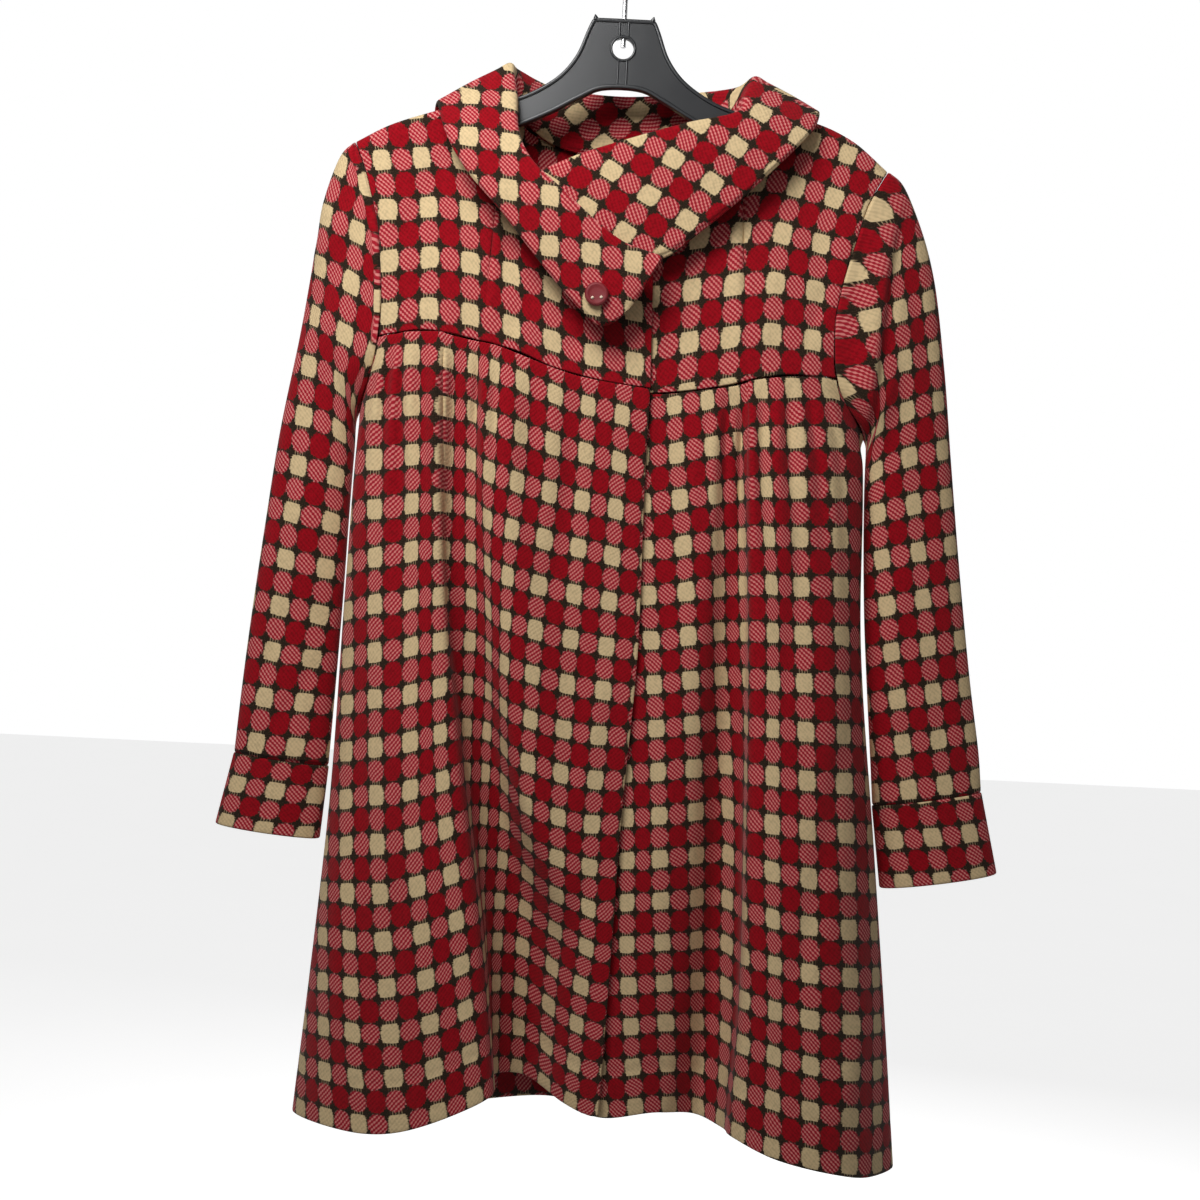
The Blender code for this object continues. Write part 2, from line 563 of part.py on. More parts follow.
def cuff_grid(side, angles, levels):
    """The cuff's band below the sleeve, a little fuller than the sleeve."""
    outer, inner, half = sleeve_frame(side, np.array([1.0]))
    end = CUFF[side]
    share = (1 - np.cos(angles)) / 2
    rows = []
    for level in levels:
        out = outer[0] + (np.array(end["outer"]) - outer[0]) * level
        into = inner[0] + (np.array(end["inner"]) - inner[0]) * level
        depth = half[0] + (CUFF_HALF_DEPTH - half[0]) * level
        x = out[0] + (into[0] - out[0]) * share
        z = out[1] + (into[1] - out[1]) * share
        rows.append(np.stack([x, SLEEVE_MID_Y - depth * np.sin(angles), z], axis=-1))
    grid = np.stack(rows)
    grid[:, :, 2] -= SEAM
    return grid


def collar_grid(stations, across):
    """The collar: rows go round the neck, columns from the neckline over the roll to the edge."""
    sections = []
    for _, neck, roll, edge, outward in COLLAR_STATIONS:
        neck, roll, edge = (np.array(p, float) for p in (neck, roll, edge))
        out = unit(np.array([outward[0], outward[1], 0.0]))
        inside = roll - out * ROLL_HALF * 0.8 + (neck - roll) * 0.25
        outside = roll + out * ROLL_HALF * 0.5 + (edge - roll) * 0.12
        belly = (roll + edge) / 2 + out * COLLAR_BELLY
        sections.append([neck, inside, roll, outside, belly, edge])
    sections = np.array(sections)
    sections[:, 2, 2] += ROLL_RISE
    columns = through(COLLAR_PLACES, np.swapaxes(sections, 0, 1), across)
    return through(np.linspace(0, 1, len(COLLAR_STATIONS)), np.swapaxes(columns, 0, 1), stations)


def shoulder_height(x):
    return np.interp(abs(x), SHOULDER["x"], SHOULDER["z"])


def hanger_outline():
    """One half of the plate's outline at positive X, from the plateau down and back inside."""
    neck = [(21, PLATEAU_Z), (25, PLATEAU_Z - 2), (29, -84), (37, -105), (50, -122), (65, -132),
            (80, -141.5), (92, -147)]
    top = [(x, shoulder_height(x) - ARM_CLEARANCE) for x in (104, 117, 148, 179, 188)]
    tip = [(194, -183), (195, -189), (190, -193)]
    under = [(179, -188), (148, -177), (110, -169), (82, -163), (55, -151), (28, -136), (12, -129)]
    return neck + top + tip + under


def make_hanger(look, group, cutters):
    """The flat plate with its two arms, bored for the hook and cut through by a round hole."""
    half = hanger_outline()
    outline = half + [(-x, z) for x, z in reversed(half)]
    curve = bpy.data.curves.new("hanger", "CURVE")
    curve.dimensions = "2D"
    curve.fill_mode = "BOTH"
    curve.extrude = (PLATE_THICK / 2 - PLATE_EDGE) * MM
    curve.bevel_depth = PLATE_EDGE * MM
    curve.offset = -PLATE_EDGE * MM
    curve.bevel_resolution = 1
    line = curve.splines.new("POLY")
    line.points.add(len(outline) - 1)
    for point, (x, z) in zip(line.points, outline):
        point.co = (x * MM, z * MM, 0, 1)
    line.use_cyclic_u = True
    drawn = bpy.data.objects.new("hanger_outline", curve)
    drawn.rotation_euler = (math.radians(90), 0, 0)
    group.objects.link(drawn)
    bpy.context.view_layer.update()
    evaluated = drawn.evaluated_get(bpy.context.evaluated_depsgraph_get())
    data = bpy.data.meshes.new_from_object(evaluated)
    plate = bpy.data.objects.new("hanger", data)
    plate.matrix_world = drawn.matrix_world
    bpy.data.objects.remove(drawn, do_unlink=True)
    mesh = bmesh.new()
    mesh.from_mesh(data)
    bmesh.ops.remove_doubles(mesh, verts=mesh.verts, dist=0.00001)
    mesh.to_mesh(data)
    mesh.free()
    group.objects.link(plate)
    data.materials.clear()
    data.materials.append(look)
    hole = cylinder("hole_cutter", HOLE_RADIUS, PLATE_THICK * 3, (0, 0, HOLE_Z),
                    (math.radians(90), 0, 0), cutters, 32)
    bore = cylinder("bore_cutter", WIRE_BORE_RADIUS, 40, (0, 0, HOLE_Z + 20), (0, 0, 0),
                    cutters, 16)
    for cutter in (hole, bore):
        cut = plate.modifiers.new(cutter.name, "BOOLEAN")
        cut.operation = "DIFFERENCE"
        cut.object = cutter
    return plate


def cylinder(name, radius, length, place, turn, group, around):
    bpy.ops.mesh.primitive_cylinder_add(vertices=around, radius=radius * MM, depth=length * MM,
                                        location=Vector(place) * MM, rotation=turn)
    made = bpy.context.object
    made.name = name
    for old in list(made.users_collection):
        old.objects.unlink(made)
    group.objects.link(made)
    made.hide_render = True
    made.display_type = "WIRE"
    return made


def hook_route():
    """The wire's middle line: open end, over the top, back to the middle and down the shank."""
    radius = HOOK_INNER_RADIUS + WIRE_RADIUS
    centre_z = -HOOK_INNER_RADIUS
    points = []
    for step in range(19):
        angle = math.radians(205 - step * 13.5)
        points.append((radius * math.cos(angle), 0, centre_z + radius * math.sin(angle)))
    points += [(9.0, 0, -45.5), (4.2, 0, -49.5), (1.2, 0, -54.5), (0, 0, -60)]
    points += [(0, 0, -70), (0, 0, -82), (0, 0, HOLE_Z + 1.5)]
    return points


def make_hook(look, group):
    curve = bpy.data.curves.new("hanger_hook", "CURVE")
    curve.dimensions = "3D"
    curve.bevel_depth = WIRE_RADIUS * MM
    curve.bevel_resolution = 2
    curve.use_fill_caps = True
    line = curve.splines.new("POLY")
    route = hook_route()
    line.points.add(len(route) - 1)
    for point, (x, y, z) in zip(line.points, route):
        point.co = (x * MM, y * MM, z * MM, 1)
    made = bpy.data.objects.new("hanger_hook", curve)
    curve.materials.append(look)
    group.objects.link(made)
    return made


def make_button(look, group):
    """A domed disc turned about its own axis, facing the viewer."""
    data = bpy.data.meshes.new("button")
    data.from_pydata([(x * MM, 0, z * MM) for x, z in BUTTON_PROFILE],
                     [(k, k + 1) for k in range(len(BUTTON_PROFILE) - 1)], [])
    made = bpy.data.objects.new("button", data)
    data.materials.append(look)
    made.location = Vector(BUTTON_PLACE) * MM
    made.rotation_euler = (math.radians(90), 0, 0)
    group.objects.link(made)
    screw = made.modifiers.new("turn", "SCREW")
    screw.steps = BUTTON_STEPS
    screw.render_steps = BUTTON_STEPS
    screw.use_merge_vertices = True
    screw.merge_threshold = 0.00005
    screw.use_smooth_shade = True
    return made


def yoke_levels(side):
    """Rows of the yoke, at the armhole's heights, down to the yoke seam."""
    reach = ARMHOLE[side]["yoke_share"]
    shares = armhole_shares()
    return np.append(shares[shares < reach - ROW_ROOM] / reach, YOKE_END)


def skirt_levels(side):
    """Rows of the skirt: the armhole's heights to the underarm, then shares of the side seam."""
    table = ARMHOLE[side]
    _, _, _, top, hem = front_lines(side)[-1]
    shares = armhole_shares()
    shares = shares[(shares > table["yoke_share"] + ROW_ROOM) & (shares != shares[-2])]
    under = table["under"][1]
    upper = table["top"][1] + (under - table["top"][1]) * shares
    lower = under + (hem - under) * np.array(SIDE_SHARES)
    heights = np.concatenate([upper, lower])
    return np.concatenate([[SKIRT_START, SKIRT_SECOND], (heights - top) / (hem - top)])


def spaced(count):
    return np.linspace(0.0, 1.0, count)


def main():
    clear_scene()
    coat = collection(COLLECTION)
    cutters = collection("cutters")
    wool = material("checked_wool", (0.45, 0.10, 0.09), 0.9)
    plastic = material("black_plastic", (0.02, 0.02, 0.022), 0.3)
    wire = material("hook_steel", (0.62, 0.62, 0.63), 0.25, 1.0)
    red = material("button_red", (0.5, 0.01, 0.03), 0.35)

    names = {-1: "right", 1: "left"}
    up = np.array([0.0, 0.0, 1.0])
    angles = ring_angles()
    for side, name in names.items():
        edge = "last" if side < 0 else "first"
        grid = skirt_grid(side, spaced(SKIRT_COLUMNS), skirt_levels(side))
        grid[:, -1, 1] -= SEAM / 2
        grid = grid if side < 0 else grid[:, ::-1]
        seam = grid[:, -1 if side < 0 else 0, 2]
        wall("front_skirt_" + name, grid, CLOTH, wool, coat,
             fixed={edge: (np.ones(len(seam)), edge_direction(side, seam))})

        shares = spaced(YOKE_COLUMNS)
        grid = yoke_grid(side, shares, yoke_levels(side))
        grid[0, :, 1] -= SEAM / 2
        on_top = shoulder_share(side, shares)
        grid = grid if side < 0 else grid[:, ::-1]
        on_top = on_top if side < 0 else on_top[::-1]
        seam = grid[:, -1 if side < 0 else 0, 2]
        wall("front_yoke_" + name, grid, CLOTH, wool, coat,
             fixed={"top": (on_top, up),
                    edge: (np.ones(len(seam)), edge_direction(side, seam))})

        grid = sleeve_grid(side, angles, SLEEVE_ROWS)
        share = (1 - np.cos(angles)) / 2
        behind = angles > math.pi
        toward = np.where(behind[:, None], edge_direction(side, grid[0, :, 2], True),
                          edge_direction(side, grid[0, :, 2]))
        wall("sleeve_" + name, grid, CLOTH, wool, coat, ring=True, flip=side < 0,
             fixed={"top": (1 - smooth_step((share - CAP_EDGE[0]) / CAP_EDGE[1]), toward)})
        grid = cuff_grid(side, angles, CUFF_ROWS)
        wall("cuff_" + name, grid, CUFF_CLOTH, wool, coat, ring=True, flip=side < 0)

    grid = back_grid(spaced(BACK_COLUMNS), SIDE_SHARES)
    grid[:, :, 1] += SEAM / 2
    on_top = 1 - smooth_step(grid[0, :, 1] / NECK_DEPTH)
    ones = np.ones(len(grid))
    wall("back", grid, CLOTH, wool, coat,
         fixed={"top": (on_top, up),
                "first": (ones, edge_direction(-1, grid[:, 0, 2], True)),
                "last": (ones, edge_direction(1, grid[:, -1, 2], True))})
    wall("collar", collar_grid(spaced(COLLAR_GRID[0]), spaced(COLLAR_GRID[1])), COLLAR_CLOTH, wool, coat)
    make_button(red, coat)
    make_hanger(plastic, coat, cutters)
    make_hook(wire, coat)


main()
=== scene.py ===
"""Looks for the swing coat on its hanger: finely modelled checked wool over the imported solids.

Tables are in millimetres in the row frame: the front faces -Y and +Z is up. Left and right
in names are the wearer's, so the right front (its side is -1) stands at negative X.
"""

import math

import bpy
import numpy as np
from mathutils import Matrix, Vector


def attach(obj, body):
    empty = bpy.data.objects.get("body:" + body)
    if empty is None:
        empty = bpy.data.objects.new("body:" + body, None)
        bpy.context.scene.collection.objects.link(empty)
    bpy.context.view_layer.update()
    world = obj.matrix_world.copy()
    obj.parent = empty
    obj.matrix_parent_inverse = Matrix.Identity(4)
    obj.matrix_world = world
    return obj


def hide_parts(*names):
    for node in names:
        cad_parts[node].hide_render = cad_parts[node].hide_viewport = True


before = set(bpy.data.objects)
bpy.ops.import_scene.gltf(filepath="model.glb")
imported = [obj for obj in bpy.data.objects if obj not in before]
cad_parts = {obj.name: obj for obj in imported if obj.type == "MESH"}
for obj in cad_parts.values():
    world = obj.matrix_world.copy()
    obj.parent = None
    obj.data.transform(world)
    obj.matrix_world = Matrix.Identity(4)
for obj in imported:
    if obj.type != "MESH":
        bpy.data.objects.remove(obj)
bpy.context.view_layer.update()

MM = 0.001

# Cloth, as in the solids
CLOTH = 2.5
COLLAR_CLOTH = 3.5
CUFF_CLOTH = 3.2
SEAM = 0.3
TIP_SPREAD = 0.6
ARM_ROUND = 9.5
UNDERARM_SPREAD = 3.7

# Heights of the skirt's sections, as a share of the way from yoke seam to hem
SKIRT_LEVELS = [0.0, 0.11, 0.33, 0.60, 0.80, 1.0]

# One row for each line down the front: X and Y at the six levels, Z at both ends
RIGHT_FRONT_LINES = [
    # name, x at the levels, y at the levels, z of yoke seam, z of hem
    ("edge", [33, 32, 33, 26, 23, 19], [-30, -31, -32, -34, -35, -36], -365, -918),
    ("near", [-25, -25, -18, -8, 13, 11], [-31, -32, -33, -36, -34, -31], -357, -919),
    ("crest_b", [-84, -83, -69, -46, -10, -8], [-32, -40, -42, -38, -26, -20], -338, -914),
    ("recess", [-106, -105, -97, -74, -52, -44], [-31, -30, -26, -10, 2, 6], -334, -901),
    ("foot", [-121, -119, -113, -91, -72, -62], [-31, -32, -30, -20, -10, -8], -331, -898),
    ("crest_a", [-130, -127, -119, -97, -78, -63], [-32, -42, -48, -58, -64, -68], -329, -898),
    ("lobe_1", [-150, -146, -138, -124, -114, -103], [-32, -38, -46, -60, -68, -72], -330, -917),
    ("lobe_2", [-162, -167, -166, -163, -158, -155], [-30, -31, -36, -46, -54, -60], -332, -931),
    ("lobe_3", [-170, -181, -184, -185.5, -189, -193], [-28, -24, -25, -31, -37, -41], -333, -931),
    ("side", [-174, -189, -194, -198.5, -206.5, -216], [-26, -10, -10, -10, -10, -9], -334, -934),
    ("seam", [-176, -191, -194, -197.5, -205.5, -214], [-25, 1, 3, 5, 8, 12], -334, -937),
]
LEFT_FRONT_LINES = [
    ("under", [14, 12, 14, 8, 8, 6], [-25, -26, -26, -26, -25, -24], -368, -920),
    ("edge", [36, 35, 35, 28, 25, 22], [-25, -26, -27, -28, -28, -27], -368, -922),
    ("crest_d", [80, 79, 79, 78, 76, 68], [-32, -36, -36, -30, -24, -20], -363, -918),
    ("recess", [99, 101, 105, 107, 108, 101], [-30, -28, -24, -13, -7, -4], -359, -925),
    ("foot", [106, 107, 113, 117, 119, 113], [-31, -30, -28, -22, -20, -18], -357, -927),
    ("crest_c", [110, 112, 119, 123, 124, 119], [-32, -42, -48, -57, -61, -59], -355, -921),
    ("lobe_1", [134, 137, 148, 154, 157, 149], [-32, -40, -48, -64, -72, -76], -351, -930),
    ("lobe_2", [152, 164, 177, 187, 193, 194], [-30, -34, -42, -56, -66, -74], -350, -940),
    ("lobe_3", [164, 187, 195, 209.5, 218, 224], [-28, -23, -26, -34, -42, -50], -349, -949),
    ("side", [171, 199, 204, 222, 235.5, 248], [-26, -10, -10, -10, -10, -10], -350, -955),
    ("seam", [174, 201, 204, 221, 234.5, 246], [-25, 1, 3, 5, 8, 12], -350, -958),
]

# Gathers under the yoke seams: how many, between which shares of the panel's width
GATHERS = {-1: (10, 0.10, 0.92), 1: (8, 0.20, 0.86)}
GATHER_DEPTH = 2.6
GATHER_PEAK = 0.07      # share of the skirt's length where they stand out most
GATHER_END = 0.34       # and where they have run out
GATHER_DRIFT = (0.9, 5) # how far and how often the gathers wander from even spacing
SKIRT_START = 0.0015    # the skirt's top row and the yoke's last row leave the seam's gap
YOKE_END = 0.9985
UNDERARM_EASE = 12.0    # height over which the armhole turns into the side seam

# Yokes, from the centre front round the neckline and along the shoulder:
# top and bottom point of each line down the yoke
RIGHT_YOKE_LINES = [
    # name, top x y z, bottom x y z, 1 on the shoulder and 0 on the neckline
    ("edge", (31, -27, -276), (33, -30, -365), 0),
    ("neck_1", (-2, -25, -260), (-4, -31, -361), 0),
    ("neck_2", (-34, -22, -246), (-40, -31, -353), 0),
    ("neck_3", (-62, -17, -218), (-66, -32, -343), 0),
    ("neck_4", (-79, -11, -182), (-84, -32, -338), 0),
    ("neck_5", (-87.5, -11, -148), (-94, -32, -336), 0),
    ("neck_point", (-89, 0, -139), (-100, -32, -335), 1),
    ("shoulder_1", (-117, 0, -146), (-120, -32, -331), 1),
    ("shoulder_2", (-148, 0, -155.5), (-142, -31, -329), 1),
    ("shoulder_3", (-179, 0, -167), (-163, -28, -332), 1),
    ("armhole", (-204, 0, -181), (-176, -25, -334), 1),
]
LEFT_YOKE_LINES = [
    ("edge", (9, -22, -256), (14, -25, -368), 0),
    ("neck_1", (34, -21, -240), (37, -26, -368), 0),
    ("neck_2", (58, -17, -215), (66, -30, -365), 0),
    ("neck_3", (80, -12, -182), (92, -31, -360), 0),
    ("neck_4", (92.5, -9, -149), (103, -32, -357), 0),
    ("neck_point", (94, 0, -140.2), (110, -32, -355), 1),
    ("shoulder_1", (121, 0, -145.5), (124, -32, -352), 1),
    ("shoulder_2", (152, 0, -149.5), (140, -31, -350), 1),
    ("shoulder_3", (181, 0, -162), (158, -29, -350), 1),
    ("armhole", (210, 0, -185), (174, -25, -350), 1),
]

YOKE_PULL = 0.8         # from this share of its width on, the yoke follows the armhole

# Armholes: share of the height, how far the seam bows in over the body, and its depth
ARMHOLE = {
    -1: {"top": (-204, -181), "under": (-191, -392), "yoke_share": 0.725,
         "share": [0, 0.005, 0.017, 0.04, 0.11, 0.22, 0.32, 0.43, 0.57, 0.725, 0.86, 0.95, 1],
         "bow": [0, 0.4, 1.4, 3.2, 8.5, 14, 18.5, 20, 21, 18.6, 11, 4, 0],
         "depth": [0, 4.4, 7.6, 9.6, 13, 17, 20, 22, 24, 25, 18, 9, 0]},
    1: {"top": (210, -185), "under": (201, -392), "yoke_share": 0.797,
        "share": [0, 0.005, 0.017, 0.04, 0.12, 0.28, 0.45, 0.59, 0.70, 0.797, 0.88, 0.95, 1],
        "bow": [0, 0.6, 2.0, 4.4, 12.5, 21.5, 29.5, 33, 32, 28.8, 20, 8, 0],
        "depth": [0, 4.4, 7.6, 9.6, 13, 19, 22, 24, 25, 25, 19, 10, 0]},
}
BACK_ARMHOLE_DEPTH = 0.85
EDGE_OVER = 0.07        # share of the armhole where the cloth's edge still faces up
EDGE_TURN = (0.78, 0.2) # where the edge starts to face the side, and over which share
EDGE_OUT = 0.3          # how much the edge faces outward between them

# Sleeves: outer and inner line in the front view, and half the tube's depth
SLEEVE_LEVELS = [0, 0.06, 0.13, 0.21, 0.33, 0.46, 0.60, 0.75, 0.90, 1.0]
SLEEVE = {
    -1: {"outer_x": [-204.3, -214.5, -226, -231, -241.5, -253, -262, -270, -275, -277],
         "outer_z": [-181, -192, -226, -262, -336, -408, -488, -568, -630, -660],
         "inner_x": [-194.5, -195.5, -196, -196.3, -197.5, -198.7, -200, -202, -204.3, -205.5],
         "inner_z": [-392, -399, -406, -415, -440, -480, -530, -585, -640, -667],
         "half_depth": [22, 21, 20, 19, 17.5, 16, 15, 14.5, 14, 14]},
    1: {"outer_x": [210.3, 222, 237, 249, 261, 270, 280.5, 293, 303, 306],
        "outer_z": [-185, -195, -226, -262, -330, -404, -488, -576, -636, -664],
        "inner_x": [204.5, 205, 205.5, 205.8, 206.5, 208, 211, 216, 221.5, 224],
        "inner_z": [-392, -399, -406, -416, -442, -482, -534, -592, -650, -678],
        "half_depth": [22, 21, 20, 19, 17.5, 16, 15, 14.5, 14, 14]},
}
SLEEVE_MID_Y = 5.0
TUBE_LEVEL = 0.34       # the sleeve is a plain tube from this level down
BOW_LEVELS = (0.36, 0.27)   # the armhole's bow runs out here, less the second at the inner line
CAP_EDGE = (0.7, 0.15)  # from this share of the armhole on, the cap's edge keeps its own normals
CUFF = {
    -1: {"outer": (-289, -716), "inner": (-210, -724)},
    1: {"outer": (321, -727), "inner": (233, -742)},
}
CUFF_HALF_DEPTH = 15.0

# Back: share of the width of each line down it, and its depth at six levels
BACK_SHARES = [0, 0.035, 0.11, 0.19, 0.26, 0.33, 0.41, 0.5, 0.59, 0.67, 0.74, 0.81, 0.89,
               0.965, 1]
BACK_LEVELS = [0.0, 0.10, 0.27, 0.55, 0.78, 1.0]
BACK_TOP = [
    # x, y, z of the shoulder seam and the neckline
    (-204, 0, -181), (-186, 0, -170.3), (-155, 0, -158), (-120, 0, -147), (-92, 0, -139.5),
    (-73, 25, -158), (-38, 38, -168), (3, 41, -171), (45, 38, -166), (79, 25, -155),
    (97, 0, -140.8), (124, 0, -146.3), (157, 0, -151.4), (188, 0, -167), (210, 0, -185),
]
BACK_DEPTHS = [
    [0, 9, 9.5, 9.5, 9.5, 27, 39, 42, 39, 27, 9.5, 9.5, 9.5, 9, 0],
    [0, 17, 19, 20, 23, 29, 34, 36, 34, 29, 23, 20, 19, 17, 0],
    [1, 17, 22, 24, 26, 28, 29, 30, 29, 28, 26, 24, 22, 17, 1],
    [4, 24, 32, 30, 34, 40, 43, 41, 44, 41, 35, 31, 34, 25, 4],
    [8, 35, 46, 40, 45, 59, 66, 58, 65, 62, 48, 41, 48, 36, 8],
    [12, 44, 60, 48, 56, 76, 87, 74, 86, 80, 60, 50, 62, 46, 12],
]
BACK_DRIFT = 0.2        # level where the back's width has become that between the side seams
NECK_DEPTH = 8.0        # the back's top is on the neckline where it lies this deep
BACK_HEM = [-937, -939, -941, -942, -943, -944, -944, -944, -945, -946, -947, -949, -951,
            -955, -958]

# Collar, round the neck from its lapping end: neckline, roll and free edge
COLLAR_STATIONS = [
    # name, neckline x y z, roll x y z, edge x y z, outward x y
    ("end", (36, -49.5, -278), (37, -53, -272), (20, -52, -299), (0, -1)),
    ("tip_1", (25, -49.5, -275), (25, -53, -269), (8, -52, -316), (0, -1)),
    ("tip_2", (7, -49.5, -269), (7, -53, -263), (-8, -52, -323), (0, -1)),
    ("front_1", (-11, -49, -258), (-12, -52.5, -250), (-28, -52, -307), (0, -1)),
    ("front_2", (-41, -46, -236), (-42, -50, -224), (-56, -50, -276), (0, -1)),
    ("front_3", (-66, -39, -216), (-66, -44, -201), (-84, -47, -242), (-0.2, -1)),
    ("front_4", (-80, -25, -194), (-78, -33, -176), (-112, -42, -211), (-0.4, -1)),
    ("neck_1", (-83, -11, -151), (-83, -17, -143), (-131, -31, -180), (-0.8, -0.7)),
    ("neck_2", (-89, 0, -131), (-88, 0, -116), (-142, -5, -148), (-1, 0)),
    ("neck_3", (-80, 11, -148), (-82, 16, -115), (-140, 19, -160), (-0.9, 0.5)),
    ("back_1", (-50, 29, -167), (-52, 37, -121), (-86, 47, -190), (-0.3, 1)),
    ("back_2", (3, 36, -174), (2, 41, -124), (5, 53, -197), (0, 1)),
    ("back_3", (57, 29, -165), (57, 37, -120), (92, 47, -188), (0.3, 1)),
    ("neck_4", (85, 10.4, -147), (92, 18, -120), (146, 20, -160), (0.9, 0.5)),
    ("neck_5", (95, 0, -132), (105, 2, -116), (154, -5, -143), (1, 0)),
    ("neck_6", (88, -12, -152), (98, -18, -136), (149, -23, -160), (0.8, -0.7)),
    ("front_5", (84, -22, -174), (90, -30, -154), (130, -35, -184), (0.3, -1)),
    ("front_6", (50, -29, -186), (52, -35, -166), (97, -39, -218), (0, -1)),
    ("front_7", (20, -31, -194), (19, -36, -177), (64, -41, -248), (0, -1)),
    ("front_8", (-18, -32, -206), (-20, -37, -191), (36, -42, -269), (0, -1)),
    ("under_1", (-42, -32, -214), (-45, -37, -202), (6, -41, -263), (0, -1)),
    ("under_2", (-54, -31, -220), (-57, -35, -209), (-18, -39, -254), (0, -1)),
]
ROLL_HALF = 3.6         # half the width of the collar's turn at its roll
ROLL_RISE = 1.0
COLLAR_BELLY = 2.5      # how far the fall stands out between roll and edge
COLLAR_PLACES = [0, 0.2, 0.36, 0.5, 0.75, 1.0]

# The check: a pair of cells is one step from one cream column or row to the next
PAIR_WIDE = 31.2
PAIR_TALL = 39.6

# Columns of the weave (counted in pairs from the centre edge) along each line of the skirts,
# at the same six levels
RIGHT_FRONT_COLUMNS = [
    [0.25, 0.20, 0.12, 0.20, 0.25, 0.15],
    [2.45, 2.43, 1.99, 1.45, 0.62, 0.44],
    [4.90, 4.87, 4.05, 3.00, 1.55, 1.30],
    [6.18, 6.20, 6.05, 4.60, 3.30, 2.90],
    [6.85, 6.95, 6.75, 5.75, 4.40, 3.90],
    [7.25, 7.20, 7.05, 6.55, 6.50, 6.60],
    [8.00, 8.00, 7.95, 7.75, 8.00, 8.20],
    [8.49, 8.70, 8.92, 9.22, 9.50, 9.94],
    [8.80, 9.15, 9.68, 10.12, 10.75, 11.40],
    [8.95, 9.55, 10.20, 10.90, 11.70, 12.60],
    [9.05, 9.95, 10.60, 11.35, 12.25, 13.25],
]
LEFT_FRONT_COLUMNS = [
    [1.50, 1.30, 1.00, 0.10, -0.10, -0.70],
    [2.40, 2.20, 1.75, 0.90, 0.55, 0.00],
    [4.20, 3.82, 3.34, 2.83, 2.46, 1.78],
    [5.18, 4.82, 4.50, 3.86, 3.70, 3.14],
    [5.53, 5.20, 4.90, 4.40, 4.25, 3.90],
    [5.75, 5.60, 5.42, 5.40, 5.07, 4.80],
    [6.78, 6.71, 6.76, 6.65, 6.55, 6.08],
    [7.43, 7.60, 7.70, 7.76, 7.74, 7.65],
    [7.86, 8.32, 8.38, 8.55, 8.60, 8.72],
    [8.05, 8.80, 8.95, 9.35, 9.65, 10.05],
    [8.15, 9.20, 9.35, 9.85, 10.25, 10.75],
]
# How far the weave's rows sink along the same lines, in pairs of cells
RIGHT_FRONT_SINK = [
    [0.27, 0.27, 0.24, 0.26, 0.22, 0.02],
    [0.10, 0.11, 0.18, 0.30, 0.24, 0.05],
    [0.06, 0.15, 0.25, 0.28, 0.22, 0.08],
    [0.03, 0.02, -0.02, 0.00, 0.02, 0.10],
    [0.04, 0.06, 0.05, 0.02, 0.00, 0.05],
    [0.06, 0.11, 0.10, 0.03, 0.02, 0.05],
    [0.00, 0.04, -0.02, -0.02, 0.04, 0.05],
    [0.00, 0.02, -0.03, -0.01, 0.05, 0.02],
    [0.00, 0.02, 0.06, 0.14, 0.08, 0.03],
] + 2 * [[0.00, 0.04, 0.10, 0.16, 0.14, 0.04]]
LEFT_FRONT_SINK = [
    [0.16, 0.16, 0.16, 0.24, 0.18, 0.20],
    [0.12, 0.14, 0.16, 0.22, 0.17, 0.22],
    [0.04, 0.06, 0.10, 0.16, 0.18, 0.24],
    [0.00, 0.00, 0.00, 0.04, 0.13, 0.26],
    [-0.02, 0.01, 0.02, 0.10, 0.18, 0.28],
    [-0.01, 0.05, 0.10, 0.22, 0.22, 0.28],
    [0.05, 0.08, 0.10, 0.21, 0.22, 0.20],
    [0.07, 0.02, 0.02, 0.14, 0.15, 0.18],
] + 3 * [[0.05, -0.02, -0.02, 0.10, 0.12, 0.16]]
# Levels of every fourth cream row of the skirts
SKIRT_ROWS = {
    -1: [0.031, 0.287, 0.526, 0.763, 0.987],
    1: [0.013, 0.270, 0.512, 0.750, 0.975],
}
# Yokes: a cream column as x at heights, a cream row as z at places across
YOKE_COLUMN = {
    -1: ([-350, -312, -273, -232, -191, -150], [-136, -138.1, -140.3, -143.5, -151.7, -160]),
    1: ([-350, -320, -279, -239, -199, -160], [123, 123.3, 124.1, 128.7, 139.3, 150]),
}
YOKE_ROW = {
    -1: ([-205, -169, -138, -107, -77, -46, -16, 15, 40],
         [-319, -316.7, -312.2, -316.1, -322.3, -332.3, -341.5, -346.2, -350]),
    1: ([0, 36, 61, 92, 123, 155, 200], [-340, -334, -328, -322.7, -319.7, -322.8, -330]),
}
YOKE_PAIR_TALL = 40.2
YOKE_TILT = (123, -320, 0.15 / 121)     # rows tilt beyond this x, by this much for each mm above z
SLEEVE_PAIR = {-1: 30.9, 1: 28.2}
# Sleeves: a cream column as x at heights with its row numbers, and how steeply rows slant
SLEEVE_COLUMN = {
    -1: ([-170, -201, -240, -319, -435, -544, -651, -700],
         [-207, -214, -224, -228.5, -236, -245, -258.5, -266],
         [-0.8, 0, 1, 3, 6, 9, 12, 13.4]),
    1: ([-180, -246, -284, -362, -473, -582, -653, -700],
        [228, 239, 246, 257, 272, 289, 301, 309],
        [-1.7, 0, 1, 3, 6, 9, 11, 12.3]),
}
SLEEVE_SLANT = {
    -1: ([-220, -319, -358, -435, -544, -651], [0.5, 0.37, 0.28, 0.20, 0.17, 0.05]),
    1: ([-250, -323, -362, -437, -582, -653], [-0.38, -0.35, -0.27, -0.24, -0.21, -0.19]),
}
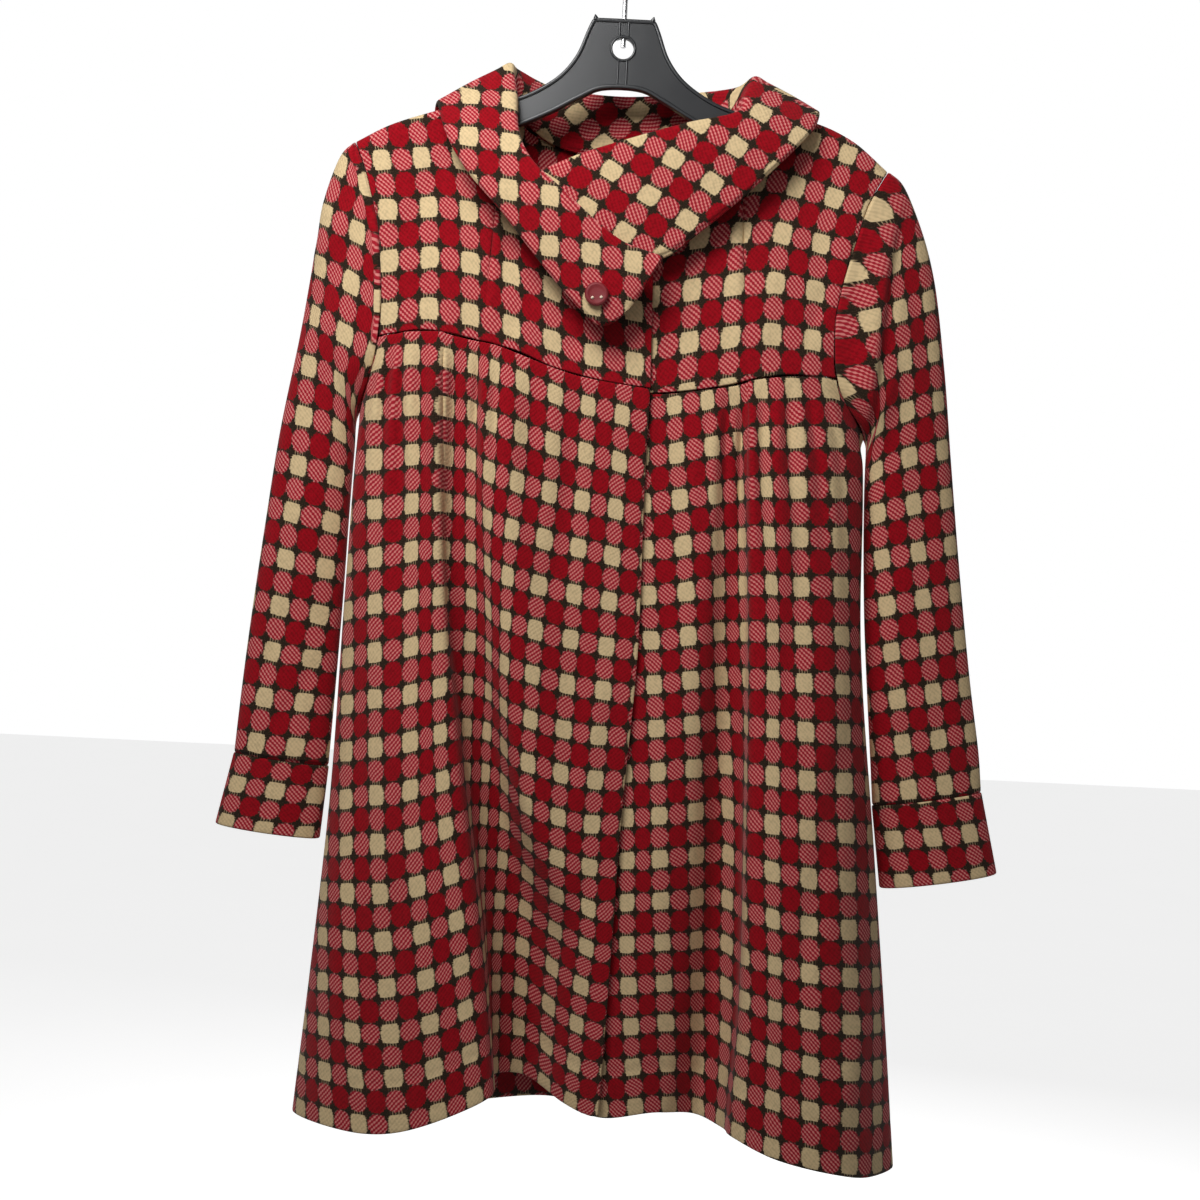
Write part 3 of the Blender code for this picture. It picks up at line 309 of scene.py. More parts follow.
# Cuffs: one cream cell, the way to the next column and to the next row, as x and z
CUFF_CELLS = {
    -1: ((-237, -687), (30.5, -3.4), (-7.2, -30.0)),
    1: ((263, -699), (29.0, 3.6), (8.8, -33.0)),
}
# Collar: the same for its left and right part as the viewer sees them
COLLAR_CELLS = {
    "left": ((-80.3, -224.3), (31.0, -4.5), (2.1, -37.4)),
    "right": ((24.8, -222.1), (29.5, -17.1), (-17.5, -28.8)),
}
COLLAR_ROLL_COLUMN = 22         # the fine grid's column at the roll
COLLAR_BACK_TURN = 45           # angle of the weave behind the neck
COLLAR_BACK = (8 / 21, 14 / 21)         # where the part behind the neck begins and ends
COLLAR_BLENDS = (7.0 / 21, 12.2 / 21)   # where the weave starts to pass from part to part
COLLAR_BLEND = 2.5 / 21

# Rows and columns of the fine grids
SKIRT_GRID = (176, 186)
YOKE_GRID = (110, 100)
SLEEVE_GRID = (120, 150)
CUFF_LEVELS = 30
BACK_GRID = (170, 131, 61)      # columns, rows of the side seams, rows of the armholes
COLLAR_GRID = (260, 64)

# Borders of a shell: extra rows this far inside them, and the wall's share at the last rows
BORDER_STEPS = (0.4, 1.2)
BORDER_ROUND = np.array([0.35, 0.78, 0.97])
TURNED = [0, 3, 2, 1]           # a face's corners the other way round

# Hanger's hole, button and stitches: places, and profiles as radius and way to the front
HOLE = (0, -98)
BUTTON_PLACE = (-11, -56.9, -301)
BUTTON_PROFILE = [(7.4, 0.0), (8.4, 0.3), (8.9, 1.0), (9.0, 1.8), (8.8, 2.7), (8.2, 3.5),
                  (7.4, 3.9), (6.6, 3.9), (6.0, 3.6), (5.4, 3.3), (4.0, 3.15), (1.0, 3.1)]
STITCH_PROFILE = [(1.1, 2.9), (1.2, 3.5), (0.9, 4.0), (0.3, 4.2)]
HEM_TURN = 35
HEM_LINE = (0.55, 2.4)          # depth and half width of the line where the turned-up edge ends
HEM_FULL = (0.45, 6)            # how much fuller it is below, and over which height

# Stage: the camera's roll, and the room's light before and behind the coat
CAMERA_ROLL = -2.7
CAMERA_PLACE = (0.0022, -1.2, -0.5278)
CAMERA_LENS = 46.14
FLOOR_HALF = 9
FLOOR_Z = -1.6
FLOOR_GLOW = 0.66
ROOM_BEFORE = 0.12
ROOM_BEHIND = 0.60

# The fold on the left sleeve: heights, x of its edge, share of its height there
BUCKLE = ([-400, -380, -348, -311, -272, -235, -205],
          [198, 200.3, 202.6, 205.5, 208.3, 214, 222],
          [0, 0.6, 1, 1, 0.9, 0.55, 0])
BUCKLE_WIDE = 22
BUCKLE_STEEP = 4
BUCKLE_HEIGHT = 5.5
BUCKLE_DIP = (0.25, 4, 5.0)     # share of its height, place beyond its edge, half width
BUCKLE_FRONT = (8.0, 6.0)       # it fades out over this depth before this y

# Creases by piece: middle x and z, angle from +X, half length, half width, height along the
# outward normal, and -1 for the front or 1 for the back
CREASES = {
    "sleeve_right": [
        (-222, -300, 62, 60, 9, -1.8, -1), (-236, -420, 76, 80, 8, -1.5, -1),
        (-226, -500, 100, 55, 10, 1.2, -1), (-248, -575, 70, 50, 7, -1.3, -1),
        (-228, -610, 60, 38, 6, -1.1, -1), (-214, -255, 48, 34, 7, 1.5, -1),
        (-230, -360, 70, 60, 9, -1.6, 1), (-240, -520, 82, 70, 9, -1.4, 1),
        (-222, -270, 50, 40, 8, 1.4, 1), (-236, -610, 65, 40, 7, -1.1, 1),
    ],
    "sleeve_left": [
        (236, -300, 108, 60, 9, -1.8, -1), (246, -430, 98, 80, 9, -1.6, -1),
        (234, -520, 80, 60, 9, 1.2, -1), (268, -590, 104, 50, 7, -1.3, -1),
        (250, -640, 112, 36, 6, -1.1, -1), (226, -350, 95, 50, 8, -1.3, -1),
        (244, -360, 106, 60, 9, -1.6, 1), (254, -520, 98, 70, 9, -1.4, 1),
        (232, -270, 125, 40, 8, 1.4, 1), (262, -620, 110, 40, 7, -1.1, 1),
    ],
    "front_yoke_right": [
        (-150, -230, 65, 50, 9, -1.4, -1), (-120, -290, 100, 40, 10, 1.1, -1),
        (-66, -310, 60, 36, 9, -1.1, -1), (-20, -330, 30, 34, 7, -1.0, -1),
    ],
    "front_yoke_left": [
        (150, -235, 115, 50, 9, -1.5, -1), (120, -300, 80, 40, 10, 1.1, -1),
        (70, -320, 120, 36, 9, -1.1, -1), (158, -300, 70, 34, 6, -1.2, -1),
    ],
    "front_skirt_right": [
        (-150, -470, 92, 90, 9, -1.6, -1), (-176, -640, 96, 110, 10, -1.8, -1),
        (-140, -800, 84, 90, 11, -1.6, -1), (-30, -480, 84, 70, 9, -1.5, -1),
        (0, -640, 80, 80, 9, 1.4, -1), (-170, -860, 100, 60, 10, 1.6, -1),
        (-10, -780, 72, 70, 9, -1.4, -1), (-104, -420, 88, 60, 6, -1.3, -1),
    ],
    "front_skirt_left": [
        (62, -480, 92, 90, 9, -1.6, -1), (94, -600, 90, 110, 8, -1.5, -1),
        (150, -520, 86, 100, 9, -1.6, -1), (178, -700, 80, 120, 10, -1.8, -1),
        (60, -760, 94, 100, 10, 1.5, -1), (206, -860, 76, 60, 10, 1.6, -1),
        (156, -820, 84, 70, 9, -1.5, -1), (140, -400, 94, 50, 7, -1.3, -1),
    ],
    "back": [
        (-90, -300, 80, 80, 12, -1.8, 1), (110, -320, 100, 90, 12, -1.8, 1),
        (-20, -460, 88, 120, 14, -1.9, 1), (60, -620, 92, 130, 13, -1.8, 1),
        (-130, -640, 84, 120, 12, -1.8, 1), (160, -700, 96, 110, 12, -1.8, 1),
        (-60, -820, 94, 90, 12, 1.6, 1), (130, -860, 88, 70, 11, 1.5, 1),
    ],
    "collar": [
        (-64, -190, 130, 40, 6, -1.2, -1), (-20, -262, 140, 40, 7, -1.1, -1),
        (70, -190, 25, 44, 7, -1.2, -1), (20, -218, 28, 30, 6, 1.0, -1),
    ],
}

# Colours of the yarns
CREAM = (0.72, 0.54, 0.30)
RED = (0.33, 0.001, 0.008)
ROSE = (0.68, 0.22, 0.20)
ROSE_RED = (0.36, 0.012, 0.025)
DARK = (0.018, 0.011, 0.006)
FUZZ = (0.36, 0.14, 0.10)

# Cells of the check as (cream, red, rose): how square they are, half width and half height
CELL_POWER = (4.0, 2.6, 2.5)
CELL_HALF_WIDE = (0.445, 0.49, 0.465)
CELL_HALF_TALL = (0.430, 0.485, 0.455)
CELLS_AWAY = 80.0               # keeps every cell's number above zero
CELL_WANDER = (0.7, 0.22)       # scale and size of the unevenness of their places
CELL_EDGE = (1.18, 0.86)        # from outside to inside
THREADS = (9.0, 11.0)           # across and down a cell
THREAD_SHARE = 0.55             # how far a cell's outline follows the threads
RAGGED = 0.75
FULL_TURN = 2 * math.pi


def through(knots, values, at, steady=False):
    """A smooth curve through the values at the knots; a steady one never swings past them."""
    knots = np.asarray(knots, float)
    values = np.asarray(values, float)
    at = np.clip(np.asarray(at, float), knots[0], knots[-1])
    steps = np.diff(knots)
    slopes = np.diff(values, axis=0) / steps.reshape((-1,) + (1,) * (values.ndim - 1))
    tangents = np.empty_like(values)
    tangents[0] = slopes[0]
    tangents[-1] = slopes[-1]
    for k in range(1, len(knots) - 1):
        before, after = steps[k - 1], steps[k]
        tangents[k] = (slopes[k - 1] * after + slopes[k] * before) / (before + after)
    if steady:
        for k in range(1, len(knots) - 1):
            least = 2 * np.minimum(np.abs(slopes[k - 1]), np.abs(slopes[k]))
            turning = slopes[k - 1] * slopes[k] <= 0
            tangents[k] = np.where(turning, 0, np.clip(tangents[k], -least, least))
    cell = np.clip(np.searchsorted(knots, at, side="right") - 1, 0, len(knots) - 2)
    width = steps[cell]
    local = (at - knots[cell]) / width
    shape = local.shape + (1,) * (values.ndim - 1)
    local = local.reshape(shape)
    width = width.reshape(shape)
    square, cube = local ** 2, local ** 3
    return ((2 * cube - 3 * square + 1) * values[cell]
            + (cube - 2 * square + local) * width * tangents[cell]
            + (3 * square - 2 * cube) * values[cell + 1]
            + (cube - square) * width * tangents[cell + 1])


def smooth_step(value):
    value = np.clip(value, 0.0, 1.0)
    return value * value * (3 - 2 * value)


def unit(vectors):
    return vectors / np.maximum(np.linalg.norm(vectors, axis=-1, keepdims=True), 1e-9)


def surface_normals(grid, ring):
    """Normals of a grid of points (row, column, xyz), by differences along both ways."""
    down = np.gradient(grid, axis=0)
    if ring:
        across = np.roll(grid, -1, axis=1) - np.roll(grid, 1, axis=1)
    else:
        across = np.gradient(grid, axis=1)
    return unit(np.cross(across, down))


def front_lines(side):
    return RIGHT_FRONT_LINES if side < 0 else LEFT_FRONT_LINES


def yoke_lines(side):
    return RIGHT_YOKE_LINES if side < 0 else LEFT_YOKE_LINES


def reaches(points):
    """Share of a broken line's length at each of its points."""
    steps = np.linalg.norm(np.diff(points, axis=0), axis=1)
    lengths = np.concatenate([[0], np.cumsum(steps)])
    return lengths / lengths[-1]


def armhole(side, share, back=False):
    """A point of the armhole seam, from the shoulder tip (0) to the underarm (1)."""
    table = ARMHOLE[side]
    share = np.asarray(share, float)
    bow = through(table["share"], table["bow"], share, steady=True)
    depth = through(table["share"], table["depth"], share, steady=True)
    x = table["top"][0] + (table["under"][0] - table["top"][0]) * share - side * bow
    z = table["top"][1] + (table["under"][1] - table["top"][1]) * share
    y = depth * BACK_ARMHOLE_DEPTH if back else -depth
    return np.stack([x, y, z], axis=-1)


def edge_direction(side, z, back=False):
    """Outward direction of the cloth along the armhole and the side seam at height z."""
    table = ARMHOLE[side]
    top, under = table["top"][1], table["under"][1]
    share = np.clip((np.asarray(z, float) - top) / (under - top), 0, 1)
    facing = 1.0 if back else -1.0
    over = 1 - smooth_step(share / EDGE_OVER)[..., None]
    below = smooth_step((share - EDGE_TURN[0]) / EDGE_TURN[1])[..., None]
    level = np.array([side * EDGE_OUT, facing, 0.0]) * (1 - below)
    level = level + np.array([side, 0.0, 0.0]) * below
    return unit(level * (1 - over) + np.array([0.0, 0.0, 1.0]) * over)


def side_seam(side, down):
    """The side seam from the underarm (0) to the hem (1)."""
    _, x, y, top, hem = front_lines(side)[-1]
    start = ARMHOLE[side]["under"][1]
    z = start + (hem - start) * np.asarray(down, float)
    level = (z - top) / (hem - top)
    place_x = through(SKIRT_LEVELS, x, level, steady=True)
    place_y = through(SKIRT_LEVELS, y, level, steady=True)
    return np.stack([place_x, place_y, z], axis=-1)


def body_side(side, z, back=False):
    """The edge of a front or the back at height z: armhole above, side seam below."""
    table = ARMHOLE[side]
    top, under = table["top"][1], table["under"][1]
    hem = front_lines(side)[-1][4]
    z = np.asarray(z, float)
    upper = armhole(side, np.clip((z - top) / (under - top), 0, 1), back)
    lower = side_seam(side, np.clip((z - under) / (hem - under), 0, 1))
    ease = smooth_step((under - z) / UNDERARM_EASE)[..., None]
    joined = np.where((z > under)[..., None], upper, lower * ease + upper * (1 - ease))
    joined[..., 2] = z
    return joined


def skirt_points(side, levels):
    """The lower front's lines at the levels, from the centre edge to the side seam."""
    levels = np.asarray(levels, float)
    points = []
    for _, x, y, top, hem in front_lines(side):
        points.append(np.stack([through(SKIRT_LEVELS, x, levels, steady=True),
                                through(SKIRT_LEVELS, y, levels, steady=True),
                                top + (hem - top) * levels], axis=-1))
    points[-1] = body_side(side, points[-1][:, 2])
    return np.stack(points, axis=1)


def skirt_grid(side, shares, levels):
    """The lower front, from its centre edge (share 0) to its side (share 1)."""
    levels = np.asarray(levels, float)
    points = skirt_points(side, levels)
    reach = reaches(points[len(points) // 2])
    grid = np.stack([through(reach, row, shares) for row in points])
    count, start, end = GATHERS[side]
    along = np.clip((np.asarray(shares) - start) / (end - start), 0, 1)
    far, often = GATHER_DRIFT
    phase = 2 * math.pi * count * along + far * np.sin(often * along)
    wave = np.sqrt(np.sin(math.pi * along)) * np.cos(phase)
    rise = smooth_step(levels / GATHER_PEAK)
    fade = 1 - smooth_step((levels - GATHER_PEAK) / (GATHER_END - GATHER_PEAK))
    grid[:, :, 1] -= GATHER_DEPTH * np.outer(rise * fade, wave)
    return grid


def yoke_grid(side, shares, levels):
    """The yoke, from its centre edge (share 0) to the armhole (share 1)."""
    lines = yoke_lines(side)
    top = np.array([line[1] for line in lines], float)
    bottom = np.array([line[2] for line in lines], float)
    reach = reaches(top)
    top = through(reach, top, shares)
    bottom = through(reach, bottom, shares)
    rounding = ARM_ROUND * shoulder_share(side, shares)
    rows = []
    for level in levels:
        row = top + (bottom - top) * level
        drop = np.maximum((top - row)[:, 2], 0.0)
        radius = np.maximum(rounding, 1e-6)
        turn = np.sqrt(np.maximum(radius ** 2 - np.maximum(radius - drop, 0) ** 2, 0))
        length = np.maximum((top - bottom)[:, 2] - radius, 1.0)
        rest = np.clip((drop - radius) / length, 0, 1)
        flat = top[:, 1] + (bottom[:, 1] - top[:, 1]) * level
        turned = -turn + (bottom[:, 1] + radius) * rest
        share = rounding / ARM_ROUND
        row[:, 1] = flat * (1 - share) + turned * share
        rows.append(row)
    grid = np.stack(rows)
    table = ARMHOLE[side]
    seam = armhole(side, np.asarray(levels) * table["yoke_share"])
    shift = seam - grid[:, -1]
    pull = smooth_step((np.asarray(shares) - YOKE_PULL) / (1 - YOKE_PULL))
    grid += shift[:, None, :] * pull[None, :, None]
    return grid


def shoulder_share(side, shares):
    """How far each place across the yoke lies on the shoulder, not on the neckline."""
    lines = yoke_lines(side)
    reach = reaches(np.array([line[1] for line in lines], float))
    return smooth_step(np.interp(shares, reach, [line[3] for line in lines]))


def edge_rows(side, lower, upper_shares):
    """Heights of the back's rows at one edge: the armhole's, then shares of the side seam."""
    table = ARMHOLE[side]
    top, under = table["top"][1], table["under"][1]
    hem = front_lines(side)[-1][4]
    upper = top + (under - top) * upper_shares
    return np.concatenate([upper, under + (hem - under) * np.asarray(lower)])


def back_grid(shares, lower, upper_shares):
    """The back, from its left edge as the viewer sees it to its right edge."""
    top = np.array(BACK_TOP, float)
    hem = np.array(BACK_HEM, float)
    depths = np.array(BACK_DEPTHS, float)
    spots = np.array(BACK_SHARES)
    left = body_side(-1, edge_rows(-1, lower, upper_shares), back=True)
    right = body_side(1, edge_rows(1, lower, upper_shares), back=True)
    on_arm = np.abs(top[:, 1]) < 1
    rows = []
    for first, last in zip(left, right):
        level_left = (first[2] - top[0, 2]) / (hem[0] - top[0, 2])
        level_right = (last[2] - top[-1, 2]) / (hem[-1] - top[-1, 2])
        level = level_left + (level_right - level_left) * spots
        depth = np.array([through(BACK_LEVELS, depths[:, k], level[k], steady=True)
                          for k in range(len(spots))])
        drift = smooth_step(level / BACK_DRIFT)
        x = top[:, 0] * (1 - drift) + (first[0] + (last[0] - first[0]) * spots) * drift
        z = top[:, 2] + (hem - top[:, 2]) * level
        over = np.maximum(ARM_ROUND - (top[:, 2] - z), 0)
        turn = np.sqrt(np.maximum(ARM_ROUND ** 2 - over ** 2, 0))
        start = np.minimum(depth, ARM_ROUND)
        y = np.where(on_arm, depth - start + np.minimum(turn, start), depth)
        row = np.stack([x, y, z], axis=-1)
        row[0] = first
        row[-1] = last
        rows.append(through(spots, row, shares))
    grid = np.stack(rows)
    grid[0, :, 1] = through(spots, top[:, 1], shares, steady=True)
    return grid


def sleeve_frame(side, levels):
    table = SLEEVE[side]
    outer = np.stack([through(SLEEVE_LEVELS, table["outer_x"], levels, steady=True),
                      through(SLEEVE_LEVELS, table["outer_z"], levels, steady=True)], axis=-1)
    inner = np.stack([through(SLEEVE_LEVELS, table["inner_x"], levels, steady=True),
                      through(SLEEVE_LEVELS, table["inner_z"], levels, steady=True)], axis=-1)
    half = through(SLEEVE_LEVELS, table["half_depth"], levels)
    return outer, inner, half


def sleeve_grid(side, angles, levels):
    """The sleeve as rings: angle 0 on its outer line, pi on its inner line, past pi at the back."""
    levels = np.asarray(levels, float)
    outer, inner, half = sleeve_frame(side, levels)
    angles = np.asarray(angles, float)
    share = (1 - np.cos(angles)) / 2
    front = np.where(angles <= math.pi, -1.0, BACK_ARMHOLE_DEPTH)
    seam = armhole(side, share)
    seam[:, 0] += side * (SEAM + TIP_SPREAD * (1 - share) ** 8 + UNDERARM_SPREAD * share ** 5)
    first_outer, first_inner, _ = sleeve_frame(side, np.array([0.0]))
    straight = first_outer[0, 0] + (first_inner[0, 0] - first_outer[0, 0]) * share
    bow = seam[:, 0] - straight
    rows = []
    for i, level in enumerate(levels):
        x = outer[i, 0] + (inner[i, 0] - outer[i, 0]) * share
        z = outer[i, 1] + (inner[i, 1] - outer[i, 1]) * share
        tube = smooth_step(level / TUBE_LEVEL)
        tube_x = smooth_step(level / (BOW_LEVELS[0] - BOW_LEVELS[1] * share))
        y = (1 - tube) * -seam[:, 1] * front + tube * (SLEEVE_MID_Y - half[i] * np.sin(angles))
        rows.append(np.stack([x + (1 - tube_x) * bow, y, z], axis=-1))
    return np.stack(rows)


def cuff_grid(side, angles, levels):
    """The cuff's band below the sleeve, a little fuller than the sleeve."""
    outer, inner, half = sleeve_frame(side, np.array([1.0]))
    end = CUFF[side]
    share = (1 - np.cos(angles)) / 2
    rows = []
    for level in levels:
        out = outer[0] + (np.array(end["outer"]) - outer[0]) * level
        into = inner[0] + (np.array(end["inner"]) - inner[0]) * level
        depth = half[0] + (CUFF_HALF_DEPTH - half[0]) * level
        x = out[0] + (into[0] - out[0]) * share
        z = out[1] + (into[1] - out[1]) * share
        rows.append(np.stack([x, SLEEVE_MID_Y - depth * np.sin(angles), z], axis=-1))
    grid = np.stack(rows)
    grid[:, :, 2] -= SEAM
    return grid


def collar_grid(stations, across):
    """The collar: rows go round the neck, columns from the neckline over the roll to the edge."""
    sections = []
    for _, neck, roll, edge, outward in COLLAR_STATIONS:
        neck, roll, edge = (np.array(p, float) for p in (neck, roll, edge))
        out = unit(np.array([outward[0], outward[1], 0.0]))
        inside = roll - out * ROLL_HALF * 0.8 + (neck - roll) * 0.25
        outside = roll + out * ROLL_HALF * 0.5 + (edge - roll) * 0.12
        belly = (roll + edge) / 2 + out * COLLAR_BELLY
        sections.append([neck, inside, roll, outside, belly, edge])
    sections = np.array(sections)
    sections[:, 2, 2] += ROLL_RISE
    columns = through(COLLAR_PLACES, np.swapaxes(sections, 0, 1), across)
    return through(np.linspace(0, 1, len(COLLAR_STATIONS)), np.swapaxes(columns, 0, 1), stations)


def creased(piece, grid, ring=False, flip=False):
    """Moves a piece's points along their normals by its creases, on the side each is on."""
    normals = surface_normals(grid, ring)
    if flip:
        normals = -normals
    moved = grid.copy()
    for x, z, angle, long, wide, height, facing in CREASES.get(piece, []):
        turn = math.radians(angle)
        dx, dz = grid[..., 0] - x, grid[..., 2] - z
        along = np.abs(dx * math.cos(turn) + dz * math.sin(turn))
        across = -dx * math.sin(turn) + dz * math.cos(turn)
        fade = np.exp(-(across / wide) ** 2) * (1 - smooth_step((along / long - 0.35) / 0.65))
        side = smooth_step(normals[..., 1] * facing * 1.6)
        moved += normals * (height * fade * side)[..., None]
    return moved


def hemmed(grid, toward):
    """A soft line where the hem's turned-up edge ends, and a little fullness below it."""
    above = grid[..., 2] - grid[-1:, :, 2] - HEM_TURN
    line = HEM_LINE[0] * np.exp(-(above / HEM_LINE[1]) ** 2)
    full = HEM_FULL[0] * (1 - smooth_step(above / HEM_FULL[1] + 1))
    moved = grid.copy()
    moved[..., 1] += toward * (full - line)
    return moved


def buckled(grid):
    """The left sleeve's fold below the shoulder, standing over the outer sleeve."""
    heights, places, share = (np.array(v, float) for v in BUCKLE)
    line = np.interp(grid[..., 2], heights, places)
    size = np.interp(grid[..., 2], heights, share)
    off = grid[..., 0] - line
    rise = smooth_step((off + BUCKLE_WIDE) / BUCKLE_WIDE)
    fall = 1 - smooth_step((off - 0.5) / BUCKLE_STEEP)
    front = smooth_step((BUCKLE_FRONT[0] - grid[..., 1]) / BUCKLE_FRONT[1])
    depth, beyond, wide = BUCKLE_DIP
    dip = depth * np.exp(-((off - BUCKLE_STEEP - beyond) / wide) ** 2)
    moved = grid.copy()
    moved[..., 1] -= BUCKLE_HEIGHT * size * (rise * fall - dip) * front
    return moved


def dense(count, skip=0.0):
    return np.linspace(skip, 1.0, count)


def rows_added(array, spots):
    """Extra rows next to both borders, at shares of the first and last gap."""
    first = [array[0] * (1 - s) + array[1] * s for s in spots]
    last = [array[-1] * (1 - s) + array[-2] * s for s in reversed(spots)]
    return np.concatenate([array[:1], first, array[1:-1], last, array[-1:]])


def placed(name, data):
    """An object with this data, in the scene."""
    made = bpy.data.objects.new(name, data)
    bpy.context.scene.collection.objects.link(made)
    return made


def bordered(grid, cells):
    """Both grids with extra rows next to the first and the last one."""
    gap = np.linalg.norm(grid[1] - grid[0], axis=-1).mean()
    spots = [step / gap for step in BORDER_STEPS]
    return rows_added(grid, spots), rows_added(cells, spots)


def turn_borders(normals, fixed):
    """Turns the normals on borders by shares toward given directions."""
    borders = {"top": (0, slice(None)), "bottom": (-1, slice(None)),
               "first": (slice(None), 0), "last": (slice(None), -1)}
    for border, (share, toward) in fixed.items():
        own = normals[borders[border]]
        share = rows_matched(share, len(own))[..., None]
        toward = unit(rows_matched(toward, len(own)))
        normals[borders[border]] = unit(own * (1 - share) + toward * share)


def quads(i, j, k, width):
    """Corners of the faces between rows i, i + 1 and columns j, k of a grid."""
    return np.stack([i * width + j, (i + 1) * width + j, (i + 1) * width + k, i * width + k],
                    axis=1)


def shell_faces(rows, columns, width, ring):
    """A shell's faces as numbers of its points, and of their places in the grid of cells."""
    size = rows * columns
    last = columns if ring else columns - 1
    i, j = np.meshgrid(np.arange(rows - 1), np.arange(last), indexing="ij")
    i, j = i.ravel(), j.ravel()
    outer = quads(i, j, (j + 1) % columns, columns)
    spots = quads(i, j, j + 1, width)
    faces = [outer, outer[:, TURNED] + size]
    places = [spots, spots[:, TURNED]]

    def close(a, b, place_a, place_b, turn):
        strip = np.stack([a, b, b + size, a + size], axis=1)
        place = np.stack([place_a, place_b, place_b, place_a], axis=1)
        faces.append(strip[:, TURNED] if turn else strip)
        places.append(place[:, TURNED] if turn else place)

    j = np.arange(last)
    for row, turn in ((0, False), (rows - 1, True)):
        close(row * columns + j, row * columns + (j + 1) % columns,
              row * width + j, row * width + j + 1, turn)
    if not ring:
        i = np.arange(rows - 1)
        for column, turn in ((0, True), (columns - 1, False)):
            close(i * columns + column, (i + 1) * columns + column,
                  i * width + column, (i + 1) * width + column, turn)
    return np.concatenate(faces), np.concatenate(places)


def cloth(name, grid, cells, thick, ring=False, fixed=None, flip=False):
    """A thin closed shell about middle points (mm), its borders rounded over.

    cells gives each point's column and row of the weave, in pairs of cells."""
    grid, cells = bordered(grid, cells)
    if not ring:
        grid, cells = (np.swapaxes(v, 0, 1) for v in bordered(np.swapaxes(grid, 0, 1),
                                                              np.swapaxes(cells, 0, 1)))
    rows, columns = grid.shape[:2]
    normals = surface_normals(grid, ring)
    if flip:
        normals = -normals
    turn_borders(normals, fixed or {})
    count = len(BORDER_ROUND)
    full = np.ones((rows, columns))
    full[:count] *= BORDER_ROUND[:, None]
    full[-count:] *= BORDER_ROUND[::-1, None]
    if not ring:
        full[:, :count] *= BORDER_ROUND
        full[:, -count:] *= BORDER_ROUND[::-1]
    half = thick / 2 * full[..., None]
    points = np.concatenate([(grid + normals * half).reshape(-1, 3),
                             (grid - normals * half).reshape(-1, 3)]) * MM
    faces, places = shell_faces(rows, columns, cells.shape[1], ring)
    if flip:
        faces = faces[:, TURNED]
        places = places[:, TURNED]
    data = bpy.data.meshes.new(name)
    data.vertices.add(len(points))
    data.vertices.foreach_set("co", points.ravel())
    data.loops.add(faces.size)
    data.loops.foreach_set("vertex_index", faces.ravel())
    data.polygons.add(len(faces))
    data.polygons.foreach_set("loop_start", np.arange(len(faces)) * 4)
    data.update(calc_edges=True)
    layer = data.uv_layers.new(name="cells")
    layer.data.foreach_set("uv", cells.reshape(-1, 2)[places.ravel()].ravel())
    data.validate()
    data.shade_smooth()
    return placed(name, data)


def rows_matched(values, count):
    """Values along a border, with the rounded border's extra points repeated."""
    values = np.asarray(values, float)
    extra = (count - len(values)) // 2
    if extra <= 0:
        return values
    return np.concatenate([values[:1]] * extra + [values] + [values[-1:]] * extra)


def skirt_cells(side, shares, levels, grid):
    """Columns and rows run through the tables' lines by length along each row."""
    table, sinks = ((RIGHT_FRONT_COLUMNS, RIGHT_FRONT_SINK) if side < 0
                    else (LEFT_FRONT_COLUMNS, LEFT_FRONT_SINK))
    reach = reaches(skirt_points(side, levels)[len(levels) // 2])
    columns, sinks = (np.stack([through(SKIRT_LEVELS, row, levels, steady=True)
                                for row in rows], axis=1) for rows in (table, sinks))
    across = []
    sunk = []
    for lengths, numbers, sink in zip(arcs(grid), columns, sinks):
        at_lines = np.interp(reach, shares, lengths)
        across.append(through(at_lines, numbers, lengths, steady=True))
        sunk.append(through(at_lines, sink, lengths, steady=True))
    knots = SKIRT_ROWS[side]
    rows = 4 * np.arange(len(knots))
    slope_first = (rows[1] - rows[0]) / (knots[1] - knots[0])
    slope_last = (rows[-1] - rows[-2]) / (knots[-1] - knots[-2])
    down = through(knots, rows, levels, steady=True)
    down = down + np.minimum(levels - knots[0], 0) * slope_first
    down = down + np.maximum(levels - knots[-1], 0) * slope_last
    return np.stack([np.stack(across), down[:, None] - np.stack(sunk)], axis=-1)


def yoke_cells(side, grid):
    x, z = grid[..., 0], grid[..., 2]
    heights, places = YOKE_COLUMN[side]
    column = (x - np.interp(z, heights, places)) / PAIR_WIDE
    across, level = YOKE_ROW[side]
    row = (np.interp(x, across, level) - z) / YOKE_PAIR_TALL
    if side > 0:
        start, level_z, tilt = YOKE_TILT
        row = row - np.maximum(x - start, 0) * tilt * (z - level_z) / YOKE_PAIR_TALL
    return np.stack([column, row], axis=-1)


def lattice(cells, x, z):
    """Column and row of the weave at x, z, from one cell and the ways to its neighbours."""
    (x0, z0), along, down = cells
    turned = np.linalg.inv(np.array([along, down], float).T)
    dx, dz = x - x0, z - z0
    return np.stack([turned[0, 0] * dx + turned[0, 1] * dz,
                     turned[1, 0] * dx + turned[1, 1] * dz], axis=-1)


def arcs(grid):
    """Arc length along each row of a grid, from its first column."""
    steps = np.linalg.norm(np.diff(grid, axis=1), axis=-1)
    return np.concatenate([np.zeros((len(grid), 1)), np.cumsum(steps, axis=1)], axis=1)


